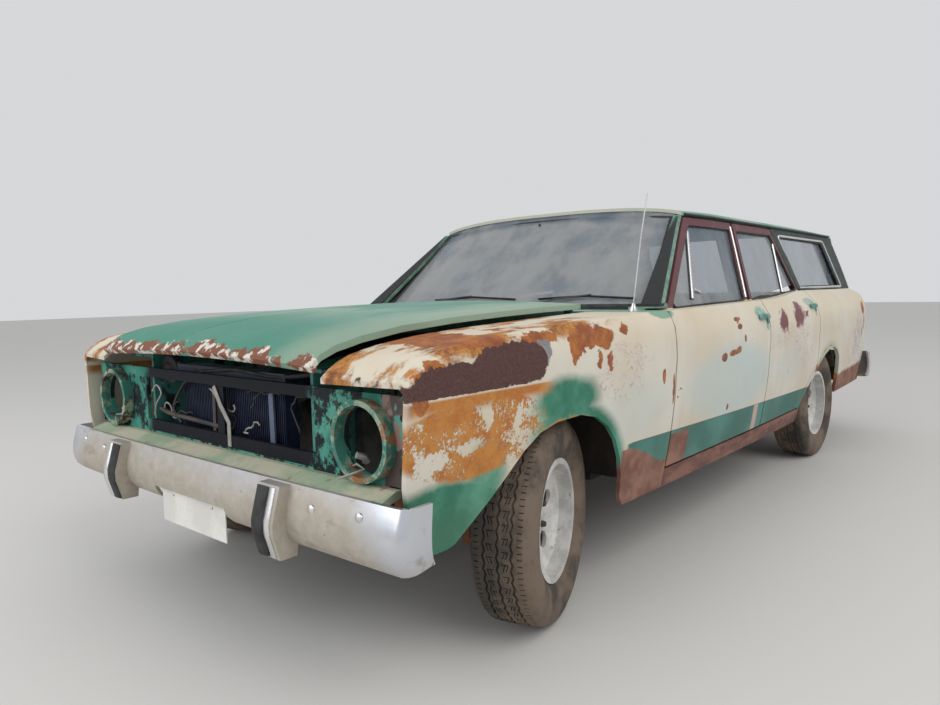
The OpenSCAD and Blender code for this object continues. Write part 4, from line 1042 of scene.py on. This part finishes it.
# %% [markdown]
# Both benches have the same build, so one loop makes them: a cushion, a back, a steel plinth and two legs.

# %% Bench seats
BENCHES = {"front": (0.560, 0.480, 0.570), "rear": (-0.200, 0.380, 0.500)}
FOOT, SEAT_HALF, PLINTH_HALF, LEG_Y, CHANNEL = 0.4623, 0.655, 0.60, 0.33, 0.075
seat_pieces = []
for row, (front_x, depth, back) in BENCHES.items():
    rear_x, head_z = front_x - depth, FOOT + back - 0.02
    seat = [(front_x - 0.018, FOOT + 0.03), (front_x - 0.014, FOOT + 0.135), (front_x - 0.04, FOOT + 0.148),
            (rear_x + 0.075, FOOT + 0.122), (rear_x + 0.015, FOOT + 0.03)]
    rest = [(rear_x + 0.072, FOOT + 0.165), (rear_x - 0.028, head_z), (rear_x - 0.078, head_z),
            (rear_x - 0.016, FOOT + 0.06), (rear_x + 0.004, FOOT + 0.05)]
    across = [front_x - 0.09 - CHANNEL * index for index in range(int((depth - 0.2) / CHANNEL) + 1)]
    upward = [FOOT + 0.25 + CHANNEL * index for index in range(4)]
    seat_pieces.append(cushion(row + "_seat_cushion", seat, SEAT_HALF, "x", across))
    seat_pieces.append(cushion(row + "_seat_back", rest, SEAT_HALF, "z", upward))
    block(row + "_seat_plinth", (rear_x, -PLINTH_HALF, FOOT + 0.002),
          (front_x - 0.03, PLINTH_HALF, FOOT + 0.04), DARK_STEEL, "body")
    for sign in (-1, 1):
        block(f"{row}_seat_leg_{sign + 1}", (front_x - 0.36, sign * LEG_Y - 0.03, 0.3125),
              (front_x - 0.16, sign * LEG_Y + 0.03, FOOT + 0.003), DARK_STEEL, "body")
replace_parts(seat_pieces[0], "bench_seats")
print("seat faces:", [len(piece.data.polygons) for piece in seat_pieces])

# %% [markdown]
# A door is pulled by a bowed bar on a foot, in the green of the old coat, with a lock button under it. Rays
# lay the bar on the curved skin. Inside, a vinyl card, an armrest and a crank show when the door is open.

# %% Door handles and inner doors
HANDLES = {"front": (-0.045, 0.085, 0.884), "rear": (-0.885, -0.765, 0.908)}
for side, sign in SIDES.items():
    for end, (back_x, front_x, z) in HANDLES.items():
        door = f"{side}_{end}_door"
        line = []
        for step in range(9):
            x = back_x + (front_x - back_x) * step / 8
            bow = math.sin(math.pi * step / 8)
            line.append(on_side(door, sign, x, z + 0.004 * bow, 0.004 + 0.013 * bow ** 0.6))
        bar_piece(door + "_handle", line, 0.011, 0.0045, HANDLE, door, out=(0, sign, 0.4))
        foot = on_side(door, sign, back_x + 0.02, z - 0.012, 0.004)
        bar_piece(door + "_handle_foot", [foot, foot - Vector((0, 0, 0.020))], 0.011, 0.006, HANDLE, door,
                  out=(0, sign, 0))
        key = on_side(door, sign, back_x + 0.022, z - 0.045, -0.001)
        button = [(0, 0.011), (0.004, 0.011), (0.0055, 0.008)]
        turned(door + "_lock", key, (0, sign, 0), button, BRIGHT, door, 20)

        low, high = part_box(door)
        inner_x, near, far = -0.5, -0.62, high.x - 0.09
        if end == "front":
            inner_x, near, far = 0.0, low.x + 0.10, high.x - 0.13
        inner_y = touch(door, (inner_x, 0, 0.70), (0, sign, 0)).y
        middle_x = (near + far) / 2
        card = sorted((inner_y - sign * 0.006, inner_y + sign * 0.001))
        block(door + "_card", (near, card[0], 0.47), (far, card[1], 0.86), VINYL, door, 0.002)
        rest = sorted((inner_y - sign * 0.045, inner_y - sign * 0.004))
        block(door + "_armrest", (middle_x - 0.14, rest[0], 0.655), (middle_x + 0.10, rest[1], 0.695), PLASTIC,
              door, 0.012)
        knob = Vector((middle_x + 0.17, inner_y - sign * 0.004, 0.66))
        bends = [(0, 0, 0), (0, -sign * 0.022, 0), (0.045, -sign * 0.026, -0.06),
                 (0.046, -sign * 0.045, -0.061)]
        bar_piece(door + "_crank", [knob + Vector(bend) for bend in bends], 0.006, 0.006, BRIGHT, door,
                  out=(0.3, 0.2, 1), sides=8)
print("door fittings: 6 on each door")

# %% [markdown]
# The windscreen is bowed, so no flat plane fits it. Its trim is placed by two shares, one across the glass and
# one up it, on the straight lines that join its bowed foot to its bowed head.

# %% Windscreen rubber
SCREEN_OUT = Vector((0.64, 0, 0.77))
SCREEN_FOOT_Z, SCREEN_HEAD_Z = 0.945, 1.338
FOOT_HALF, HEAD_HALF = 0.744, 0.654


def screen_point(across, upward, off=0.0):
    """across runs from -1 to 1, upward from foot to head, and off stands out from the glass."""
    foot = Vector((0.900 - 0.1 * across ** 2, across * FOOT_HALF, SCREEN_FOOT_Z))
    head_y = across * HEAD_HALF
    head = Vector((0.428 - 0.046 * (head_y / 0.678) ** 2, head_y,
                   SCREEN_HEAD_Z + 0.030 * (1 - across ** 2)))
    return foot.lerp(head, upward) + SCREEN_OUT * off


def screen_line(edge, low, high, off):
    ring = [screen_point(step / 16 * edge, low, off) for step in range(-16, 17)]
    ring += [screen_point(edge, low + (high - low) * step / 8, off) for step in range(1, 8)]
    ring += [screen_point(step / 16 * edge, high, off) for step in range(16, -17, -1)]
    ring += [screen_point(-edge, low + (high - low) * step / 8, off) for step in range(7, 0, -1)]
    return ring


bar_piece("windscreen_rubber", screen_line(0.985, 0.02, 0.965, 0.004), 0.010, 0.006, SEAL, "body",
          out=SCREEN_OUT, sides=8, closed=True)
print("windscreen trimmed")

# %% [markdown]
# The quarter windows have a bright bead outside a black rubber. Both follow four corners, each cut off and
# pushed out a little so that the bar bends round it instead of folding.

# %% Quarter windows
QUARTER_WINDOW = [(-1.858, 1.010), (-0.942, 1.010), (-0.812, 1.290), (-1.668, 1.290)]
CORNER_CUT, CORNER_PULL = 0.022, 0.22


def quarter_outline():
    corners = [Vector((x, 0, z)) for x, z in QUARTER_WINDOW]
    outline = []
    for index, corner in enumerate(corners):
        neighbours = corners[index - 1], corners[(index + 1) % len(corners)]
        first, last = (corner + (other - corner).normalized() * CORNER_CUT for other in neighbours)
        outline += [first, corner + (first + last - corner * 2) * CORNER_PULL, last]
    return outline


def quarter_line(plane, grow, off):
    outline = quarter_outline()
    centre = sum(outline, Vector()) / len(outline)
    grown = [point + (point - centre).normalized() * grow for point in outline]
    return [on_plane(plane, point.x, point.z, off) for point in grown]


for side, sign in SIDES.items():
    middle, above = (from_side("fixed_glass", sign, -1.45, z) for z in (1.12, 1.20))
    normal = Vector((1, 0, 0)).cross(above - middle).normalized()
    normal = normal if normal.y * sign > 0 else -normal
    bar_piece(side + "_quarter_rubber", quarter_line((middle, normal), -0.004, 0.005), 0.008, 0.006, SEAL,
              "body", out=normal, sides=6, closed=True)
    bar_piece(side + "_quarter_bead", quarter_line((middle, normal), 0.018, 0.016), 0.007, 0.005, BRIGHT,
              "body", out=normal, sides=8, closed=True)
print("quarter windows trimmed:", len(SIDES))

# %% [markdown]
# Two wiper arms rest at the foot of the windscreen, each a thin bar that tapers to a rubber blade. The aerial
# leans back on the wing, and dark slots let air into the scuttle. The slots are thin raised strips, because
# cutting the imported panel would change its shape.

# %% Wipers, aerial and scuttle slots
WIPERS = [(-0.50, -0.12, -0.36, 0.14), (0.20, 0.50, 0.26, 0.68)]


def over_screen(y, upward, off):
    return screen_point(y / FOOT_HALF, upward, off)


for number, (pivot, tip, blade_from, blade_to) in enumerate(WIPERS):
    arm = [over_screen(pivot, -0.02, 0.012), over_screen((pivot + tip) / 2, 0.055, 0.024),
           over_screen(tip, 0.105, 0.020)]
    bar_piece(f"wiper_arm_{number}", arm, 0.006, 0.004, PLASTIC, "body", out=SCREEN_OUT, sides=8,
              taper=lambda share: 1 - 0.4 * share)
    shares = [step / 8 for step in range(9)]
    blade = [over_screen(blade_from + (blade_to - blade_from) * share, 0.105 - 0.055 * abs(share - 0.5), 0.012)
             for share in shares]
    bar_piece(f"wiper_blade_{number}", blade, 0.004, 0.006, SEAL, "body", out=SCREEN_OUT, sides=6)
    turned(f"wiper_cap_{number}", over_screen(pivot, -0.02, 0.006), (0.5, 0, 0.86),
           [(0, 0.014), (0.012, 0.012), (0.018, 0.006)], PLASTIC, "body", 16)
mast = from_above("left_front_wing", 1.023, 0.790)
turned("aerial_base", mast, (0.1, 0.1, 1), [(0, 0.016), (0.008, 0.015), (0.02, 0.008), (0.03, 0.006)], BRIGHT,
       "body", 20)
mast_line = [mast + Vector(rise) for rise in ((0, 0, 0.02), (-0.10, -0.02, 0.28), (-0.17, -0.03, 0.44))]
bar_piece("aerial_mast", mast_line, 0.0022, 0.0022, BRIGHT, "body", out=(1, 0, 0), sides=6)
for side, sign in SIDES.items():
    for number in range(14):
        y = sign * (0.16 + 0.026 * number)
        top = from_above("cowl_and_firewall", 1.025, y)
        block(f"{side}_scuttle_slot_{number}", (1.000, y - 0.0055, top.z - 0.004),
              (1.045, y + 0.0055, top.z + 0.0012), SEAL, "body", 0.001)
print("screen fittings done")

# %% [markdown]
# The bumper keeps dull rubber and a bright edge on the front of each overrider, and domed bolts. They follow
# the blade by rays from ahead. In the stained panel above it, holes gape where the lamps were, so thin dark
# discs stand for the small ones and wires hang in the large ones.

# %% Front: bumper trim, panel holes and lamp wires
BOLTS = [(0.772, 0.507), (0.60, 0.497)]
PANEL_HOLES = [(0.600, 0.600, 0.011), (0.560, 0.690, 0.014), (0.815, 0.600, 0.012), (0.820, 0.730, 0.010),
               (0.575, 0.745, 0.009)]
OVERRIDER_Y, OVERRIDER_FOOT, OVERRIDER_HEAD = 0.453, 0.356, 0.536
for side, sign in SIDES.items():
    heights = [OVERRIDER_FOOT + (OVERRIDER_HEAD - OVERRIDER_FOOT) * step / 12 for step in range(13)]
    hits = [from_front("front_bumper", sign * OVERRIDER_Y, z) for z in heights]
    line = [hit + Vector((0.0015, -sign * 0.02, 0)) for hit in hits if hit]
    bar_piece(side + "_overrider_rubber", line, 0.026, 0.006, SEAL, "body", out=(1, 0, 0), sides=12)
    edge = [point + Vector((-0.001, sign * 0.042, 0)) for point in line]
    bar_piece(side + "_overrider_edge", edge, 0.012, 0.005, BRIGHT, "body", out=(1, 0, 0))
    for number, (y, z) in enumerate(BOLTS):
        seat = from_front("front_bumper", sign * y, z) - Vector((0.001, 0, 0))
        turned(f"{side}_bumper_bolt_{number}", seat, (1, 0, 0),
               [(0, 0.013), (0.003, 0.0125), (0.006, 0.008), (0.007, 0.002)], BRIGHT, "body", 16)
    for number, (y, z, size) in enumerate(PANEL_HOLES):
        seat = from_front("radiator_support", sign * y, z) - Vector((0.001, 0, 0))
        disc = [(0, size), (0.0016, size * 0.96)]
        turned(f"{side}_panel_hole_{number}", seat, (1, 0, 0), disc, SEAL, "body", 14)
    wire = [(2.21, sign * 0.60, 0.575), (2.225, sign * 0.66, 0.60), (2.235, sign * 0.70, 0.595),
            (2.25, sign * 0.665, 0.580), (2.262, sign * 0.63, 0.566)]
    bar_piece(side + "_lamp_wire", wire, 0.003, 0.003, PALE_WIRE, "body", out=(0.2, 0.1, 1), sides=6)
    plug = [(2.19, sign * 0.655, 0.60), (2.205, sign * 0.665, 0.615), (2.222, sign * 0.655, 0.622)]
    bar_piece(side + "_lamp_plug", plug, 0.011, 0.009, PALE_WIRE, "body", sides=8)
print("bumper trimmed, holes on each side:", len(PANEL_HOLES))

# %% [markdown]
# With the grille gone, the horn, the hoses and the wiring loom show. A hose is given by a few points chosen
# along its run. Straight pieces between them would look folded, so a spline rounds them before the bar is
# made.

# %% Front: horn and hoses
HORN = Vector((2.165, -0.405, 0.775))
HORN_OUTLINE = [(-0.035, 0.02), (-0.03, 0.045), (-0.012, 0.050), (0, 0.048), (0.004, 0.030), (0.002, 0.026),
                (0.010, 0.018), (0.012, 0.004)]
HOSES = {
    "top_hose": (0.019, SEAL, [(1.90, 0.10, 0.815), (1.98, 0.12, 0.835), (2.07, 0.14, 0.83),
                               (2.118, 0.15, 0.785)]),
    "bottom_hose": (0.019, SEAL, [(1.90, -0.12, 0.56), (2.00, -0.16, 0.55), (2.09, -0.20, 0.575),
                                  (2.13, -0.21, 0.60)]),
    "loom": (0.007, SEAL, [(2.17, 0.42, 0.805), (2.18, 0.25, 0.79), (2.185, 0.05, 0.80), (2.18, -0.15, 0.785),
                           (2.17, -0.33, 0.80)]),
    "loom_branch": (0.005, SEAL, [(2.18, -0.12, 0.79), (2.20, -0.20, 0.76), (2.19, -0.28, 0.72),
                                  (2.195, -0.33, 0.65), (2.19, -0.29, 0.60)]),
    "low_pipe": (0.008, DARK_STEEL, [(2.185, -0.44, 0.635), (2.19, -0.36, 0.625), (2.19, -0.22, 0.62),
                                     (2.185, -0.05, 0.612)]),
    "latch_cable": (0.003, PALE_WIRE, [(2.215, -0.44, 0.70), (2.218, -0.40, 0.725), (2.222, -0.36, 0.70),
                                       (2.216, -0.41, 0.66), (2.214, -0.43, 0.62)]),
}


def rounded(line, parts=6):
    """A smooth run through the points of a line (a Catmull-Rom spline)."""
    points = [Vector(point) for point in [line[0], *line, line[-1]]]
    run = []
    for before, start, end, after in zip(points, points[1:], points[2:], points[3:]):
        slope, bend = end - before, 2 * before - 5 * start + 4 * end - after
        twist = 3 * start - before - 3 * end + after
        for t in (part / parts for part in range(parts)):
            run.append(0.5 * (2 * start + slope * t + bend * t * t + twist * t ** 3))
    return run + [points[-1]]


turned("horn_disc", HORN, (1, 0.1, -0.1), HORN_OUTLINE, DARK_STEEL, "body", 28)
bracket = [HORN + Vector((-0.02, 0.02, 0)), (2.13, -0.36, 0.79), (2.13, -0.33, 0.79)]
bar_piece("horn_bracket", bracket, 0.008, 0.003, DARK_STEEL, "body")
for name, (size, material, line) in HOSES.items():
    bar_piece(name, rounded(line), size, size, material, "body", out=(0.3, 0.2, 1), sides=12)
print("hoses:", len(HOSES))

# %% [markdown]
# Three struts stand before the radiator, whose core is many thin upright fins. The loose wires are a tangle
# that nobody could place by hand, so each is a walk of short random steps held inside the opening. The seed
# is fixed, which gives the same tangle every time.

# %% Front: struts, fins and loose wires
STRUTS = {
    "catch_strut": (0.011, 0.002, PALE_WIRE, [(2.214, -0.030, 0.745), (2.216, 0.010, 0.690),
                                              (2.217, 0.055, 0.640), (2.217, 0.055, 0.567)]),
    "core_strut": (0.013, 0.005, STRUT_BLUE, [(2.190, 0.245, 0.745), (2.192, 0.250, 0.65),
                                              (2.192, 0.252, 0.562)]),
    "core_strut_inner": (0.010, 0.004, DARK_STEEL, [(2.188, -0.075, 0.745), (2.188, -0.078, 0.562)]),
}
OPENING_LOW, OPENING_HIGH = Vector((2.186, -0.44, 0.612)), Vector((2.196, 0.44, 0.745))
for name, (half_width, half_depth, material, line) in STRUTS.items():
    bar_piece(name, line, half_width, half_depth, material, "body", out=(1, 0, 0), sides=6)
for number in range(58):
    y = -0.285 + number * 0.01
    block(f"core_fin_{number}", (2.1735, y - 0.0012, 0.575), (2.178, y + 0.0012, 0.745), CORE, "body", 0.0004)

walk = random.Random(7)
for number in range(9):
    point = Vector((2.192, -0.42 + 0.10 * number + 0.03 * walk.random(), 0.735 if number % 2 else 0.63))
    angle, line = walk.random() * 6, []
    for step in range(14):
        angle += walk.uniform(-0.9, 1.1)
        point += Vector((walk.uniform(-0.002, 0.002), math.cos(angle) * 0.016, math.sin(angle) * 0.012))
        point = Vector(min(high, max(low, at)) for at, low, high in zip(point, OPENING_LOW, OPENING_HIGH))
        line.append(point.copy())
    bar_piece(f"loose_wire_{number}", line, 0.0028, 0.0028, SEAL if number % 3 else PALE_WIRE, "body",
              out=(1, 0, 0), sides=6)
print("fins: 58, loose wires: 9")

# %% [markdown]
# Under the bonnet the engine needs what a viewer expects on top: a rocker cover, an air cleaner, a battery and
# a fan. Plain boxes and lathe shapes are enough at that distance.

# %% Engine top
block("rocker_cover", (1.30, -0.10, 0.818), (1.86, 0.08, 0.868), DARK_STEEL, "body", 0.018)
turned("air_cleaner", (1.56, 0.19, 0.818), (0, 0, 1),
       [(0, 0.05), (0.004, 0.115), (0.036, 0.118), (0.042, 0.105), (0.044, 0.02), (0.052, 0.015)], DARK_STEEL,
       "body", 40)
block("battery", (1.86, 0.40, 0.49), (2.06, 0.50, 0.70), PLASTIC, "body", 0.008)
turned("fan_hub", (1.94, 0, 0.66), (1, 0, 0), [(0, 0.05), (0.03, 0.05), (0.06, 0.035), (0.085, 0.03)],
       DARK_STEEL, "body", 24)
for blade in range(4):
    turn = Matrix.Rotation(blade * math.tau / 4 + 0.4, 3, "X") @ Matrix.Rotation(0.5, 3, "Z")
    block(f"fan_blade_{blade}", (2.005, -0.032, 0.69), (2.009, 0.032, 0.83), PLASTIC, "body", 0.0015, turn,
          Vector((2.007, 0, 0.66)))
print("engine top done")

# %% [markdown]
# At the back, upright lamps sit at the ends of the quarter panels: a bright bezel, a red lens and a pale one.
# The tailgate has a pull handle and three pressed ribs, which are bars laid on it in the same paint.

# %% Tail lamps and tailgate
LAMP_MIDDLE = 0.745
TAIL_LAMPS = {"tail_lamp_bezel": (-0.008, 0.012, 0.052, 0.575, 0.815, BRIGHT, 0.004),
              "tail_lamp": (-0.022, 0.002, 0.044, 0.655, 0.807, LAMP_RED, 0.009),
              "back_lamp": (-0.022, 0.002, 0.044, 0.583, 0.648, PALE_LENS, 0.009)}
for side, sign in SIDES.items():
    edge_x, middle_y = from_behind(side + "_quarter_panel", sign * LAMP_MIDDLE, 0.66).x, sign * LAMP_MIDDLE
    for name, (behind, ahead, half, low, high, material, round_by) in TAIL_LAMPS.items():
        block(f"{side}_{name}", (edge_x + behind, middle_y - half, low),
              (edge_x + ahead, middle_y + half, high), material, "body", round_by)
gate_x = from_behind("tailgate", 0.3, 0.80).x
pull = [(gate_x - 0.002, -0.09, 0.90), (gate_x - 0.016, -0.07, 0.90), (gate_x - 0.016, 0.07, 0.90),
        (gate_x - 0.002, 0.09, 0.90)]
bar_piece("tailgate_pull", pull, 0.006, 0.009, CHROME, "tailgate", out=(-1, 0, 0.2))
for number, z in enumerate((0.640, 0.735, 0.83)):
    rib = [(gate_x + 0.001, y, z) for y in (-0.56, 0.56)]
    bar_piece(f"tailgate_rib_{number}", rib, 0.010, 0.0045, SIDE_PAINT, "tailgate", out=(-1, 0, 0), sides=12)
print("back fittings done")

# %% [markdown]
# Inside are three gauges, a glove lid and a mirror. On the bonnet, a fold runs back from the lip where the
# steel was bent. A dent in the mesh would break its shading, so the fold is a low bar in the same paint.

# %% Inside fittings and the bonnet's fold
GAUGE_OUTLINE = [(-0.004, 0.040), (0.012, 0.042), (0.012, 0.036), (0.004, 0.034), (0.004, 0.002)]
BEFORE_DASH = 0.45
for number, y in enumerate((-0.47, -0.37, -0.27)):
    face = touch("dashboard", (BEFORE_DASH, y, 0.84), (1, 0, 0))
    turned(f"gauge_{number}", face, (-1, 0, 0.25), GAUGE_OUTLINE, BRIGHT, "body", 32)
glove = touch("dashboard", (BEFORE_DASH, 0.38, 0.835), (1, 0, 0))
block("glove_lid", (glove.x - 0.006, 0.22, 0.79), (glove.x + 0.006, 0.54, 0.878), PLASTIC, "body")
block("cabin_mirror", (0.455, -0.11, 1.262), (0.475, 0.11, 1.312), PLASTIC, "body", 0.008)
bar_piece("mirror_stalk", [(0.470, 0, 1.30), (0.478, 0, 1.345)], 0.006, 0.006, PLASTIC, "body", out=(1, 0, 0))
hits = [from_above("bonnet", 2.295 - step * 0.05, -0.10) for step in range(24)]
fold = [hit - Vector((0, 0, 0.0005)) for hit in hits if hit]
bar_piece("bonnet_fold_line", fold, 0.010, 0.0032, CHALKY_GREEN, "bonnet", sides=8)

# %% [markdown]
# The floor is staging: it holds the car's shadow. A pale world and two large lamps give the metal something
# soft to mirror. A sun would be simpler, but its hard shadows would hide the worn paint.

# %% Floor, world and lamps
floor = Finish("studio_floor", (0.62, 0.61, 0.59))
mesh = bmesh.new()
bmesh.ops.create_grid(mesh, x_segments=1, y_segments=1, size=40)
floor_data = bpy.data.meshes.new("studio_floor")
mesh.to_mesh(floor_data)
mesh.free()
floor_data.materials.append(floor.set(Roughness=0.9))
floor_piece = bpy.data.objects.new("studio_floor", floor_data)
scene.collection.objects.link(floor_piece)
world = bpy.data.worlds.new("soft_studio")
scene.world = world
world.use_nodes = True
world.node_tree.nodes["Background"].inputs["Color"].default_value = (0.90, 0.91, 0.93, 1)
world.node_tree.nodes["Background"].inputs["Strength"].default_value = 0.75


def lamp(name, place, aim, size, power, colour):
    light = bpy.data.lights.new(name, "AREA")
    light.energy, light.size, light.color = power, size, colour
    item = bpy.data.objects.new(name, light)
    scene.collection.objects.link(item)
    toward = Vector(aim) - Vector(place)
    item.matrix_world = Matrix.Translation(place) @ toward.to_track_quat("-Z", "Y").to_matrix().to_4x4()


lamp("high_side_lamp", (1.5, 8.0, 7.5), (0.3, 0, 0.6), 8.0, 400, (1.0, 0.98, 0.95))
lamp("front_lamp", (8.0, -2.0, 4.5), (1.5, 0, 0.7), 6.0, 240, (0.97, 0.98, 1.0))
print("lamps: 2")
